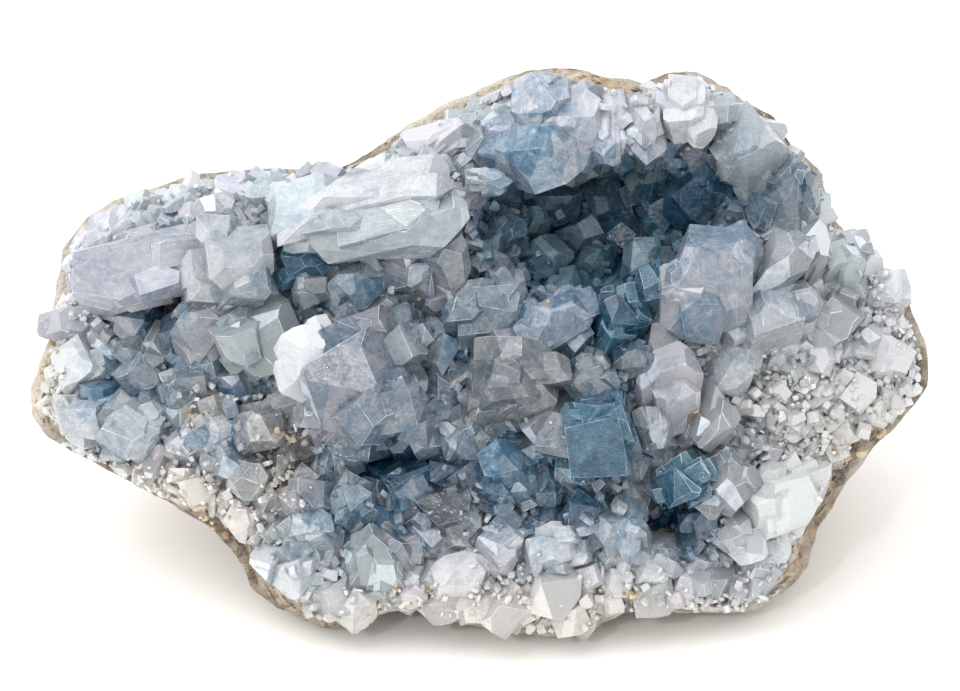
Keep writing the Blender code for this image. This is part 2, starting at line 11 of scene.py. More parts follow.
import bpy
import numpy as np
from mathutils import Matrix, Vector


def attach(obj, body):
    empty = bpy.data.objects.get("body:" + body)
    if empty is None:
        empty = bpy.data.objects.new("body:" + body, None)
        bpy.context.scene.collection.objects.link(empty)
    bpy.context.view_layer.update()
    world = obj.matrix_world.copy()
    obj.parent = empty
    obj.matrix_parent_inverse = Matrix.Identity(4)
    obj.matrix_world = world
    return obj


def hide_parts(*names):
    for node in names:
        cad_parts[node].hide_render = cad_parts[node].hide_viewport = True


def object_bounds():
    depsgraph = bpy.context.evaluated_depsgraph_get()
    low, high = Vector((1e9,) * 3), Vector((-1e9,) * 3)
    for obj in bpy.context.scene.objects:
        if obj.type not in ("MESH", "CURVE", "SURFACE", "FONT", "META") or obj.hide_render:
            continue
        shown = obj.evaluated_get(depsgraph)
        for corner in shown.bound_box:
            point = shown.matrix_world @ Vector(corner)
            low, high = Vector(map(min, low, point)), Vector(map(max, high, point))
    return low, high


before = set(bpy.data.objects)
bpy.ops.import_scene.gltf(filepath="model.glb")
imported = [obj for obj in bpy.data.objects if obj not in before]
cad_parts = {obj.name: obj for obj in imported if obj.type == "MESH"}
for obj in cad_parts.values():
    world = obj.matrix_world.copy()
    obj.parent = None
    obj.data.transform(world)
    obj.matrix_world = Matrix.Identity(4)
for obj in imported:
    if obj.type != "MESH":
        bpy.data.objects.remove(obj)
cad_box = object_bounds()

MM = 0.001
ROUND = 2 * math.pi

# How the face stands, as in the solids
LEAN = math.radians(32)
FACE_MIDDLE = (0.07, -2.28, 38.0)

# The bowl, the hollow and the rind, as in the solids
RIND_BACK = -35.0
RIND_LIP = 1.2
HOLLOW_PLACE = (19.0, 19.5)
HOLLOW_REACH = (24.0, 14.5)
HOLLOW_DEPTH = 27.0
CRUST_DEPTH = 5.0
CRUST_EDGE = 0.985
CRUST_GAP = 0.35

# Sizes of the grains of the crust (mm)
LARGE_GRAINS = 4.2
FINE_GRAINS = 1.7

# Where the crystals between the large ones stand: the spacing of their lattice (mm)
DRUSE_SPACING = 3.5

# How far out a crystal's side crystals may reach, as a share of the way to the outline
TOP_OVERHANG = 1.0
OTHER_OVERHANG = 1.05
TOP_EDGE_UP = 20

OUTLINE = (
    (74.2, -4.5), (73.4, 0.8), (71.0, 6.7), (67.0, 12.5), (61.8, 16.6), (58.2, 21.4),
    (56.5, 28.0), (51.5, 33.5), (48.6, 38.0), (43.8, 40.6), (38.8, 43.4), (34.6, 45.4),
    (31.6, 45.3), (26.8, 43.3), (21.7, 44.1), (15.0, 45.8), (8.4, 45.5), (3.3, 44.0),
    (-1.7, 41.5), (-8.4, 38.3), (-15.0, 34.1), (-20.1, 30.4), (-24.2, 28.8), (-30.1, 29.1),
    (-38.5, 29.1), (-46.0, 28.1), (-52.7, 26.3), (-60.2, 24.2), (-65.5, 20.9), (-69.0, 15.9),
    (-70.2, 9.2), (-70.9, 0.8), (-74.0, -6.7), (-73.8, -10.9), (-71.1, -15.2), (-65.2, -18.4),
    (-58.5, -21.6), (-50.2, -25.9), (-44.3, -29.6), (-40.1, -33.4), (-37.1, -39.0),
    (-32.6, -42.6), (-25.1, -45.8), (-18.4, -44.6), (-12.5, -42.6), (-6.7, -44.0),
    (1.7, -46.0), (11.7, -47.2), (18.4, -46.0), (22.6, -43.6), (28.4, -42.6), (36.8, -43.6),
    (43.5, -43.6), (49.3, -40.6), (53.5, -35.9), (55.5, -29.3), (60.2, -22.6), (65.2, -16.2),
    (70.2, -11.2), (73.4, -7.2),
)

# Swellings and pits of the bowl: across, up, half width, half height, rise (mm)
SWELLINGS = (
    (-48.0, 15.0, 22.0, 14.0, 5.0),
    (-16.0, 22.0, 24.0, 11.0, 6.0),
    (-16.0, -6.0, 18.0, 14.0, 4.0),
    (18.0, -14.0, 18.0, 11.0, 4.5),
    (42.0, 10.0, 16.0, 15.0, 4.0),
    (24.0, 39.0, 26.0, 9.0, 5.0),
    (-50.5, 5.0, 6.5, 6.0, -8.0),
    (-13.0, -19.0, 10.0, 5.0, -5.0),
    (30.0, -27.5, 7.0, 7.5, -8.0),
)

# How far past a pit's edge the crust is darkened, as painted shade
PIT_SHADE = 2

# Arcs of the broken edge where bare rock shows: from and to (degrees), width as a share of the reach
BARE_ARCS = (
    (50, 128, 0.060), (132, 166, 0.045), (180, 196, 0.040), (206, 240, 0.060), (318, 352, 0.055),
)

# The refraction of the crystals
CELESTITE_IOR = 1.62

# How deep the strips along a crystal's edges are (mm); the white ones are worn edges with a painted
# highlight
EDGE_STRIP_WIDTH = 0.085
HOLLOW_EDGE_STRIP_WIDTH = 0.08

# The photograph's view: width seen at the face and distance from it (m), width of the film (mm)
VIEW_WIDTH = 0.1565
VIEW_DISTANCE = 0.70
FILM_WIDTH = 36

# Places where the crystals are milky and sugary: across, up, half width, half height, strength
PALE_PLACES = (
    (62.0, -12.0, 30.0, 34.0, 1.0), (50.0, -27.0, 18.0, 18.0, 1.0), (8.0, -42.0, 62.0, 15.0, 0.72),
    (-55.0, -22.0, 26.0, 12.0, 0.6), (24.0, 44.0, 50.0, 13.0, 0.7), (-45.0, 28.0, 40.0, 15.0, 0.70),
    (-16.0, 24.0, 26.0, 13.0, 0.78), (-58.0, 12.0, 16.0, 9.0, 0.5), (60.0, 10.0, 24.0, 20.0, 0.75),
    (36.0, -8.0, 14.0, 16.0, 0.6), (-38.0, 2.0, 14.0, 10.0, 0.4), (-57.0, -13.0, 14.0, 8.0, 0.5),
    (33.0, 38.5, 17.0, 9.0, 0.78), (-40.0, 16.0, 17.0, 10.0, 0.6),
    # The first place here whitens the largest block's left side: partly frosting, partly painted light from
    # the upper left.
    (-27.5, -2.0, 6.0, 8.0, 1.0), (36.5, 12.0, 8.0, 9.0, 0.4),
)

# Places where the growth is darker, in the same terms: in part deep blue crystals, in part painted
# shade in the hollow, the pits and other low places
DEEP_BLUE_AND_SHADED_PLACES = (
    (35.0, 24.5, 13.0, 8.0, 1.0), (5.0, 19.0, 8.0, 7.0, 0.5), (40.5, 14.0, 6.0, 8.0, 0.25),
    (-51.0, 5.9, 7.0, 7.0, 1.0), (-22.6, 15.9, 6.0, 4.0, 0.5), (-29.0, 13.4, 4.5, 4.5, 0.7),
    (-15.0, -6.4, 9.0, 8.0, 0.10), (5.0, -3.8, 9.0, 8.0, 0.40), (21.7, 4.2, 7.0, 7.0, 0.8),
    (12.0, 1.0, 22.0, 9.0, 0.4), (-13.4, -18.9, 9.0, 7.0, 0.85), (-5.9, -25.4, 6.0, 5.0, 0.8),
    (15.9, -25.0, 7.0, 5.0, 0.8), (31.8, -27.6, 6.5, 8.5, 1.0), (18.4, -15.0, 8.0, 7.0, 0.5),
    (47.0, 24.0, 9.0, 8.0, 0.45), (-58.5, -7.5, 11.0, 6.0, 0.45), (6.0, -22.6, 24.0, 9.0, 0.45),
    (48.0, 10.0, 8.0, 6.0, 0.3), (10.6, 33.0, 11.0, 8.0, 0.22), (-33.0, -17.0, 12.0, 7.0, 0.4),
    (-20.0, -27.0, 10.0, 6.0, 0.5),
)

# Places where the growth is cream and beige, in the same terms
CREAM_PLACES = (
    (60.0, -18.0, 22.0, 22.0, 0.55), (8.0, -48.0, 66.0, 15.0, 1.0), (-52.0, -27.0, 26.0, 13.0, 1.0),
    (72.0, 4.0, 9.0, 12.0, 0.4), (-71.0, -8.0, 9.0, 11.0, 0.7), (-44.3, -10.0, 6.0, 6.0, 0.7),
    (46.8, -7.5, 10.0, 9.0, 0.5), (-32.0, -19.0, 9.0, 15.0, 0.85), (-4.0, -26.0, 9.0, 8.0, 0.5),
    (5.0, -5.0, 10.0, 8.0, 0.45),
)

# Places with rusty specks, in the same terms
RUSTY_PLACES = (
    (-10.0, 7.5, 3.0, 2.2, 0.8), (8.4, 5.9, 3.0, 2.0, 0.7), (35.1, -9.2, 5.0, 3.6, 0.6),
    (-55.2, 25.9, 5.0, 2.4, 1.0), (-70.6, -5.0, 4.0, 8.0, 1.0), (-43.0, -28.5, 7.0, 4.0, 0.8),
    (-12.0, -41.0, 14.0, 4.0, 0.6), (24.0, -40.5, 16.0, 4.0, 0.5), (60.0, -14.0, 14.0, 10.0, 0.35),
    (-32.0, -16.0, 5.0, 5.0, 0.35), (-46.0, -10.0, 6.0, 4.0, 0.35),
)

# Crystals that can be told apart: place of the middle across and up the face, lift above the
# crust, length, width, thickness (mm), tilt from straight out, heading of the tilt, turn about
# its own length (degrees), habit, finish.
NAMED_CRYSTALS = (
    # brow at the left
    (-55.6, 12.5, 2.6, 23.0, 14.0, 10.0, 70, 194, 16, "chisel", "milky"),
    (-46.0, 23.0, 1.0, 13.0, 12.0, 9.0, 30, 110, 15, "block", "milky"),
    (-39.5, 13.5, 3.0, 15.0, 13.5, 12.0, 24, 60, 8, "block", "milky"),
    (-34.5, 1.6, 4.0, 15.0, 13.0, 11.0, 25, 320, 30, "chisel", "clear"),
    (-44.2, 2.8, 3.0, 12.0, 9.0, 8.0, 20, 200, 50, "block", "clear"),
    (-67.6, 3.6, 1.0, 9.0, 6.5, 6.0, 45, 185, 15, "point", "milky"),
    (-55.5, -3.5, 2.0, 12.0, 9.0, 8.0, 35, 250, 40, "chisel", "clear"),
    (-47.5, -6.4, 1.5, 11.0, 7.0, 7.0, 18, 300, 10, "block", "clear"),
    (-62.6, -11.4, 2.0, 12.0, 11.0, 8.0, 40, 215, 5, "block", "frosted"),
    (-56.5, -13.0, 3.5, 13.0, 10.0, 8.0, 30, 240, 60, "chisel", "milky"),
    (-52.6, -18.4, 1.5, 9.0, 6.0, 5.0, 40, 260, 0, "point", "clear"),
    (-43.5, -14.2, 1.0, 10.0, 8.0, 6.0, 30, 60, 30, "block", "frosted"),
    # the long pale crystals above the middle, and what they lie on
    (-16.6, 24.6, 4.8, 33.0, 11.0, 9.0, 78, 13, 8, "point", "frosted"),
    (-13.0, 19.4, 4.6, 27.0, 10.5, 8.6, 76, 8, 34, "point", "milky"),
    (-27.0, 21.0, 2.5, 15.0, 13.0, 10.0, 40, 150, 10, "block", "frosted"),
    (-8.2, 14.2, 4.0, 16.0, 9.0, 9.0, 62, 350, 30, "block", "clear"),
    (1.6, 26.2, 7.6, 8.0, 3.6, 3.4, 78, 2, 0, "point", "frosted"),
    (4.2, 17.4, 6.0, 13.0, 6.6, 5.4, 55, 62, 20, "point", "clear"),
    (-8.0, 33.0, 0.5, 11.0, 10.0, 8.0, 30, 110, 40, "block", "frosted"),
    # roof of the hollow
    (10.6, 32.4, 5.4, 18.0, 15.5, 12.0, 40, 266, 25, "chisel", "frosted"),
    (20.4, 33.8, 4.0, 16.0, 6.0, 5.4, 48, 268, 10, "chisel", "frosted"),
    (26.4, 34.2, 4.4, 17.0, 6.4, 5.6, 44, 276, 40, "point", "milky"),
    (33.0, 37.0, 3.0, 13.0, 7.6, 6.0, 40, 262, 5, "chisel", "frosted"),
    (38.6, 37.8, 1.6, 12.0, 7.0, 6.4, 20, 250, 0, "block", "milky"),
    (44.6, 31.2, 3.8, 15.0, 12.0, 9.0, 34, 290, 35, "block", "milky"),
    (50.4, 33.8, 1.0, 8.0, 5.0, 4.6, 52, 55, 20, "block", "milky"),
    (55.0, 28.6, 2.0, 14.0, 9.0, 8.0, 62, 12, 10, "chisel", "clear"),
    (48.4, 22.8, 2.0, 14.0, 12.5, 9.0, 26, 330, 60, "block", "clear"),
    (53.6, 26.4, 4.0, 10.0, 6.0, 5.0, 56, 20, 20, "chisel", "teal"),
    (57.6, 22.4, 1.0, 9.0, 6.0, 6.0, 55, 350, 0, "block", "milky"),
    (52.6, 33.0, 1.5, 10.0, 6.0, 6.0, 40, 40, 45, "block", "clear"),
    # the prisms at the right
    (36.9, 11.6, 8.0, 20.0, 12.6, 10.5, 44, 92, 4, "chisel", "milky"),
    (47.8, 12.4, 7.4, 21.0, 6.6, 5.8, 46, 58, 35, "point", "clear"),
    (53.2, 14.2, 6.0, 19.0, 5.6, 5.0, 44, 82, 70, "point", "clear"),
    (57.0, 12.6, 3.0, 15.0, 7.6, 6.6, 40, 60, 15, "chisel", "milky"),
    (61.2, 15.6, 1.5, 10.0, 6.0, 6.0, 46, 45, 0, "block", "milky"),
    (47.0, 4.6, 3.0, 13.0, 12.0, 9.0, 28, 80, 20, "block", "milky"),
    (57.0, 3.8, 2.4, 13.0, 9.0, 8.0, 30, 40, 50, "chisel", "clear"),
    (66.6, 9.4, 1.0, 8.0, 6.0, 5.6, 46, 20, 10, "block", "frosted"),
    (30.4, 13.2, 4.0, 9.0, 4.8, 4.6, 50, 84, 0, "point", "clear"),
    # middle
    (-18.8, -5.4, 7.0, 20.0, 17.5, 15.0, 26, 205, 32, "block", "clear"),
    (-29.4, 13.4, 2.0, 12.0, 8.0, 8.0, 20, 20, 25, "block", "teal"),
    (-26.6, 9.6, 3.2, 8.0, 6.0, 5.6, 24, 300, 10, "chisel", "clear"),
    (-18.6, 9.6, 2.0, 12.0, 10.0, 8.0, 26, 80, 45, "chisel", "milky"),
    (-6.0, 7.6, 2.6, 12.0, 8.0, 7.6, 24, 110, 15, "point", "clear"),
    (1.4, 4.2, 4.0, 14.0, 11.0, 8.0, 30, 96, 0, "block", "clear"),
    (5.2, -4.0, 6.0, 17.0, 16.0, 11.0, 30, 92, 8, "chisel", "smoky"),
    (11.8, 2.6, 4.0, 13.0, 12.0, 9.0, 30, 70, 30, "block", "milky"),
    (21.8, 4.0, 4.2, 12.0, 8.0, 6.6, 34, 60, 10, "block", "teal"),
    (17.6, -5.8, 4.0, 12.0, 7.6, 7.0, 20, 250, 35, "chisel", "clear"),
    (18.4, -15.2, 7.4, 12.0, 11.0, 10.6, 12, 262, 6, "cube", "teal"),
    (31.0, -5.8, 6.0, 18.0, 9.6, 8.4, 42, 96, 20, "chisel", "milky"),
    (28.2, -13.8, 5.0, 10.0, 4.8, 4.4, 44, 280, 0, "point", "milky"),
    (36.6, -12.2, 4.6, 12.0, 10.0, 4.4, 34, 318, 58, "block", "clear"),
    (28.4, 8.6, 4.4, 10.0, 7.0, 5.6, 40, 120, 30, "chisel", "teal"),
    (24.4, -2.2, 5.4, 9.0, 6.0, 5.0, 38, 40, 60, "point", "clear"),
    (4.2, -20.6, 4.0, 14.0, 8.0, 6.4, 36, 96, 12, "chisel", "milky"),
    (10.6, -23.4, 3.6, 8.0, 4.2, 3.8, 30, 262, 0, "chisel", "clear"),
    (-34.0, -13.0, 1.0, 11.0, 9.0, 8.0, 26, 200, 15, "block", "milky"),
    # lower edge
    (32.8, -22.0, 5.0, 11.0, 8.4, 7.0, 22, 200, 24, "block", "teal"),
    (39.0, -22.0, 4.4, 12.0, 9.0, 8.0, 24, 320, 45, "chisel", "clear"),
    (49.2, -24.6, 3.0, 13.0, 11.0, 9.0, 30, 340, 15, "block", "frosted"),
    (42.8, -31.0, 3.6, 12.0, 7.6, 6.6, 40, 300, 10, "point", "milky"),
    (-17.0, -34.0, 3.6, 13.0, 7.0, 5.0, 52, 88, 6, "chisel", "clear"),
    (-13.6, -33.0, 2.6, 11.0, 4.6, 4.0, 50, 116, 30, "point", "clear"),
    (-3.4, -38.2, 1.0, 10.0, 9.6, 7.0, 44, 84, 12, "block", "frosted"),
    (-19.6, -25.2, 2.0, 9.0, 7.0, 6.0, 30, 96, 40, "point", "smoky"),
    (-5.8, -25.4, 2.0, 9.0, 8.0, 7.0, 22, 250, 20, "block", "smoky"),
    (11.8, -32.6, 2.6, 10.0, 9.6, 6.4, 28, 190, 14, "block", "frosted"),
    (21.8, -30.2, 3.0, 12.0, 7.6, 6.6, 36, 100, 34, "chisel", "milky"),
    (27.6, -37.0, 1.0, 9.0, 6.6, 6.0, 30, 96, 0, "block", "frosted"),
    (3.4, -31.8, 2.2, 10.0, 7.0, 6.4, 30, 80, 40, "chisel", "milky"),
    (-27.6, -29.0, 1.6, 10.0, 7.6, 6.6, 36, 120, 10, "chisel", "frosted"),
)

# Lesser crystals that show: against the largest block, its white side, frosted and partly painted
# light from the upper left, and its blue front; and the pale flat ones along the upper left edge
CLOSE_CRYSTALS = (
    (-53.0, 20.4, -0.6, 13.0, 14.0, 8.0, 34, 140, 12, "block", "frosted"),
    (-37.6, 23.6, -0.4, 13.0, 13.0, 9.0, 28, 75, 20, "block", "milky"),
    (-61.0, 17.4, -0.6, 10.0, 10.0, 7.0, 38, 160, 30, "block", "frosted"),
    (-30.6, 24.4, 0.2, 12.0, 11.0, 8.0, 30, 90, 5, "chisel", "frosted"),
    (-26.2, -2.0, 9.2, 14.0, 10.0, 8.0, 34, 150, 24, "block", "frosted"),
    (24.6, 24.0, 3.6, 12.0, 9.0, 7.0, 24, 270, 20, "chisel", "teal"),
    (-14.4, -9.0, 6.6, 13.0, 11.5, 9.0, 22, 285, 8, "block", "clear"),
    (-12.6, -1.0, 6.4, 12.0, 8.0, 7.0, 30, 40, 30, "chisel", "clear"),
    (35.4, 25.4, 1.8, 14.0, 14.0, 9.0, 20, 266, 45, "block", "clear"),
)

# Crystals that line the hollow, in the same terms
HOLLOW_CRYSTALS = (
    (7.0, 20.0, 3.0, 12.0, 7.0, 6.0, 35, 20, 10, "point", "deep"),
    (11.0, 13.6, 3.4, 13.0, 7.0, 6.4, 20, 80, 40, "chisel", "deep"),
    (11.5, 24.5, 3.0, 13.0, 8.0, 6.0, 30, 290, 0, "block", "deep"),
    (16.6, 19.0, 4.0, 13.0, 8.0, 7.0, 8, 20, 25, "block", "deep"),
    (19.0, 12.8, 3.0, 12.0, 6.6, 6.0, 24, 100, 60, "point", "deep"),
    (20.5, 25.4, 3.4, 13.0, 7.6, 6.4, 26, 266, 15, "chisel", "deep"),
    (24.4, 18.6, 4.0, 14.0, 8.0, 7.4, 12, 170, 50, "chisel", "deep"),
    (27.6, 12.6, 3.0, 12.0, 7.0, 6.0, 28, 120, 5, "block", "deep"),
    (29.6, 25.0, 3.2, 13.0, 7.0, 6.6, 30, 240, 30, "point", "deep"),
    (32.4, 18.8, 3.0, 12.0, 7.0, 6.4, 34, 176, 20, "chisel", "deep"),
)


# Shapes of the whole piece

def place(points):
    """Face frame to world: shift along X by across, lean up and out by LEAN in the Y-Z plane."""
    across, up, out = np.moveaxis(np.asarray(points, float), -1, 0)
    right, back, high = FACE_MIDDLE
    return MM * np.stack((
        right + across,
        back + up * math.sin(LEAN) - out * math.cos(LEAN),
        high + up * math.cos(LEAN) + out * math.sin(LEAN),
    ), axis=-1)


def smooth_step(value):
    """0 below 0, 1 above 1, and 3s^2 - 2s^3 between."""
    share = np.clip(value, 0, 1)
    return share * share * (3 - 2 * share)


def noise(points, size, seed):
    """Smooth random values from -1 to 1: a random number at each corner of a lattice of that
    size, blended inside each cell by smooth steps along its three edges."""
    table = np.random.default_rng(seed).uniform(-1, 1, (31, 31, 31))
    cell = np.asarray(points, float) / size
    low = np.floor(cell).astype(int)
    share = smooth_step(cell - low)
    total = np.zeros(cell.shape[:-1])
    for corner in itertools.product((0, 1), repeat=3):
        weight = np.where(corner, share, 1 - share).prod(axis=-1)
        at = np.moveaxis((low + corner) % 31, -1, 0)
        total += weight * table[at[0], at[1], at[2]]
    return total


def packed_grains(points, size, seed):
    """The surface of packed grains: every point belongs to the nearest of the seeds scattered one
    to a lattice cell, and gets that grain's own height plus the slope of its own tilted face.
    Returns the height in grain sizes, and a number from 0 to 1 for the grain."""
    chance = np.random.default_rng(seed)
    shift = chance.uniform(0, 1, (29, 29, 29, 3))
    slope = chance.normal(0, 0.55, (29, 29, 29, 3))
    level = chance.uniform(-0.25, 0.25, (29, 29, 29))
    cell = np.asarray(points, float) / size
    low = np.floor(cell).astype(int)
    nearest = np.full(cell.shape[:-1], 1e9)
    height = np.zeros(cell.shape[:-1])
    number = np.zeros(cell.shape[:-1])
    for corner in itertools.product((-1, 0, 1), repeat=3):
        at = np.moveaxis((low + corner) % 29, -1, 0)
        away = cell - (low + corner + shift[at[0], at[1], at[2]])
        distance = (away ** 2).sum(axis=-1)
        face = level[at[0], at[1], at[2]] + (away * slope[at[0], at[1], at[2]]).sum(axis=-1)
        closer = distance < nearest
        nearest = np.where(closer, distance, nearest)
        height = np.where(closer, face, height)
        number = np.where(closer, shift[at[0], at[1], at[2], 0], number)
    return height, number


def outline_radius(angle):
    """Distance to the broken outline in each direction: straight between its corners."""
    corners = np.array(OUTLINE)
    angles = np.arctan2(corners[:, 1], corners[:, 0])
    order = np.argsort(angles)
    return np.interp(angle, angles[order], np.hypot(*corners[order].T), period=ROUND)


def ring_at(share, angle):
    """A ring round the face's origin: in each direction, that share of the way to the outline."""
    reach = outline_radius(angle)
    return share * reach * np.cos(angle), share * reach * np.sin(angle)


def swelling(across, up, middle, half):
    """A smooth hill, 1 over its middle and 0 past its half width and half height."""
    away = np.hypot((across - middle[0]) / half[0], (up - middle[1]) / half[1])
    return smooth_step(1.25 * (1 - away))


def hollow_hill(across, up):
    """1 over the middle of the hollow and 0 past its mouth."""
    return swelling(across, up, HOLLOW_PLACE, HOLLOW_REACH)


def hills(places, across, up, wider=0):
    """The hill over each place of a list, with the place's last number: its rise or strength."""
    for middle_across, middle_up, half_wide, half_high, strength in places:
        half = (half_wide + wider, half_high + wider)
        yield swelling(across, up, (middle_across, middle_up), half), strength


def bowl(across, up):
    """The rind's bowl: a leaning plane, less a parabola each way, plus the swellings, less the hollow."""
    height = 3.0 - 0.14 * up - 9.0 * (across / 75) ** 2 - 3.0 * (up / 46) ** 2
    for hill, rise in hills(SWELLINGS, across, up):
        height = height + rise * hill
    return height - HOLLOW_DEPTH * hollow_hill(across, up)


def lumps(x, y, z, size):
    """Rolling unevenness between -1 and 1, from three crossing waves of about that size in mm."""
    return (
        np.sin(x / size + 1.3 + 0.8 * np.sin(z / size))
        + np.sin(y / size * 1.17 + 0.4 + 0.7 * np.sin(x / size * 1.31))
        + np.sin(z / size * 0.93 + 2.1 + 0.9 * np.sin(y / size * 0.87))
    ) / 3


def rim_share(across, up):
    """0 at the face's origin, 1 on the broken outline."""
    return np.hypot(across, up) / outline_radius(np.arctan2(up, across))


def crust_top(across, up):
    """The massive crust between the crystals: the bowl plus a depth that thins towards the rim."""
    thin = 1 - 0.45 * smooth_step((rim_share(across, up) - 0.7) / 0.3)
    return bowl(across, up) + CRUST_DEPTH * thin + 1.1 * lumps(across, up, 0 * up, 2.6)


def bare_rock(across, up):
    """1 on the bare arcs of the broken edge, fading inwards over their width, and 0 elsewhere."""
    share = rim_share(across, up)
    turn = np.degrees(np.arctan2(up, across)) % 360
    total = 0 * share
    for first, last, width in BARE_ARCS:
        arc = smooth_step((turn - first) / 4) * smooth_step((last - turn) / 4)
        total = np.maximum(total, arc * smooth_step((share - 1 + 1.4 * width) / (0.4 * width)))
    return total


def place_share(places, across, up):
    """The strongest of a list of places at each point."""
    total = 0 * np.asarray(across, float)
    for hill, strength in hills(places, across, up):
        total = np.maximum(total, strength * hill)
    return total


def paleness(across, up):
    """How milky and sugary the growth is: rising towards the rim, and in the pale places."""
    rim = 0.85 * smooth_step((rim_share(across, up) - 0.70) / 0.24)
    return np.maximum(rim, place_share(PALE_PLACES, across, up))


def lightness(across, up):
    """The tone of the growth, 0 blue-black to 1 white: half, lighter where pale, darker in the darker
    places, partly for deep blue crystals and partly as painted shade, and in the hollow as painted
    shade.
    """
    # Painted shade: the hollow darkens the tone like a darker place at half strength.
    hollow = smooth_step(3 * hollow_hill(across, up))
    dark = np.maximum(place_share(DEEP_BLUE_AND_SHADED_PLACES, across, up), 0.50 * hollow)
    return (0.50 + 0.37 * paleness(across, up) * (1 - dark) - 0.42 * dark).clip(0.0, 1)


def marks_at(across, up, tint, height, extra):
    """The marks that the crystal materials read: tint, height along the crystal and lightness; and
    the share of cream."""
    light = lightness(across, up) + extra
    marks = np.stack((tint + 0 * light, height + 0 * light, light), -1)
    return marks, place_share(CREAM_PLACES, across, up)


# Meshes

def mesh_object(name, points, faces, materials, flat=True, which=None, facet=None, **attributes):
    """A mesh from an array of points and an array or list of faces, with the number of each face's
    material, each face's own tone, and a value or a vector per point for each named attribute."""
    mesh = bpy.data.meshes.new(name)
    if isinstance(faces, np.ndarray):
        corners = faces.shape[1]
        mesh.vertices.add(len(points))
        mesh.vertices.foreach_set("co", points.astype(np.float32).ravel())
        mesh.loops.add(faces.size)
        mesh.loops.foreach_set("vertex_index", faces.astype(np.int32).ravel())
        mesh.polygons.add(len(faces))
        mesh.polygons.foreach_set("loop_start", np.arange(0, faces.size, corners, dtype=np.int32))
        mesh.update(calc_edges=True)
        mesh.validate()
    else:
        mesh.from_pydata(points.tolist(), [], faces)
    for attribute, values in attributes.items():
        values = np.asarray(values, np.float32)
        kind, field = ("FLOAT", "value") if values.ndim == 1 else ("FLOAT_VECTOR", "vector")
        mesh.attributes.new(attribute, kind, "POINT").data.foreach_set(field, values.ravel())
    if facet is not None:
        values = np.asarray(facet, np.float32)
        mesh.attributes.new("facet", "FLOAT", "FACE").data.foreach_set("value", values)
    if flat:
        mesh.shade_flat()
    else:
        mesh.shade_smooth()
    for material in materials:
        mesh.materials.append(material)
    if which is not None:
        mesh.polygons.foreach_set("material_index", np.asarray(which, np.int32))
    made = bpy.data.objects.new(name, mesh)
    bpy.context.scene.collection.objects.link(made)
    return made


def ring_faces(rings, steps):
    """Triangles between rings of equal count, and a fan to one point at each end."""
    here = np.arange(steps)
    ahead = (here + 1) % steps
    first = np.arange(rings - 1)[:, None] * steps
    walls = np.stack((first + here, first + steps + here, first + steps + ahead, first + ahead), -1)
    last = (rings - 1) * steps
    ends = rings * steps
    walls = walls.reshape(-1, 4)
    triangles = np.concatenate((walls[:, (0, 1, 2)], walls[:, (0, 2, 3)]))
    near = np.stack((np.full(steps, ends), here, ahead), -1)
    far = np.stack((np.full(steps, ends + 1), last + ahead, last + here), -1)
    return np.concatenate((triangles, near, far))


# Materials

BLACK = (0, 0, 0)
WHITE = (1, 1, 1)


def shader_nodes(name):
    """A new material, its node tree and its Principled shader."""
    material = bpy.data.materials.new(name)
    material.use_nodes = True
    tree = material.node_tree
    return material, tree, tree.nodes["Principled BSDF"]


def add_node(tree, kind, **values):
    """A node with its settings, or else its inputs, set by name."""
    node = tree.nodes.new(kind)
    for key, value in values.items():
        if hasattr(node, key):
            setattr(node, key, value)
        else:
            node.inputs[key.replace("_", " ")].default_value = value
    return node


def ramp(tree, source, stops):
    """A colour ramp over a value; stops are (place, colour)."""
    node = tree.nodes.new("ShaderNodeValToRGB")
    elements = node.color_ramp.elements
    while len(elements) < len(stops):
        elements.new(0.5)
    for element, (position, colour) in zip(elements, stops):
        element.position = position
        element.color = (*colour, 1)
    tree.links.new(source, node.inputs["Fac"])
    return node.outputs["Color"]


def noise_value(tree, coordinates, scale, detail=4.0, roughness=0.55, distortion=0.0):
    """Cloudy noise from 0 to 1, finer for a larger scale."""
    node = add_node(tree, "ShaderNodeTexNoise", Scale=scale, Detail=detail, Roughness=roughness,
                    Distortion=distortion)
    tree.links.new(coordinates, node.inputs["Vector"])
    return node.outputs["Fac"]


def attribute(tree, name):
    """Reads a value or a vector that is stored with the mesh."""
    node = tree.nodes.new("ShaderNodeAttribute")
    node.attribute_name = name
    return node


def feed(tree, socket, value):
    """Links a socket to another node's output, or sets it to a number or a colour."""
    if isinstance(value, bpy.types.NodeSocket):
        tree.links.new(value, socket)
    elif isinstance(value, tuple):
        socket.default_value = (*value, 1)
    else:
        socket.default_value = value


def mix_colour(tree, share, first, second, blend="MIX"):
    """The first colour, changed by the share towards the second, or blended with it."""
    node = add_node(tree, "ShaderNodeMix", data_type="RGBA", blend_type=blend)
    for socket, value in zip((node.inputs[0], node.inputs[6], node.inputs[7]), (share, first, second)):
        feed(tree, socket, value)
    return node.outputs[2]


def mathematics(tree, operation, first, second, clamp=False):
    """One operation on two values; clamp keeps the result from 0 to 1."""
    node = add_node(tree, "ShaderNodeMath", operation=operation, use_clamp=clamp)
    for socket, value in zip(node.inputs, (first, second)):
        feed(tree, socket, value)
    return node.outputs[0]


def stretched(tree, coordinates, along):
    """Coordinates in mm with the third one scaled, so that a pattern is drawn out along it."""
    node = tree.nodes.new("ShaderNodeMapping")
    node.inputs["Scale"].default_value = (1.0, 1.0, along)
    tree.links.new(coordinates, node.inputs["Vector"])
    return node.outputs["Vector"]


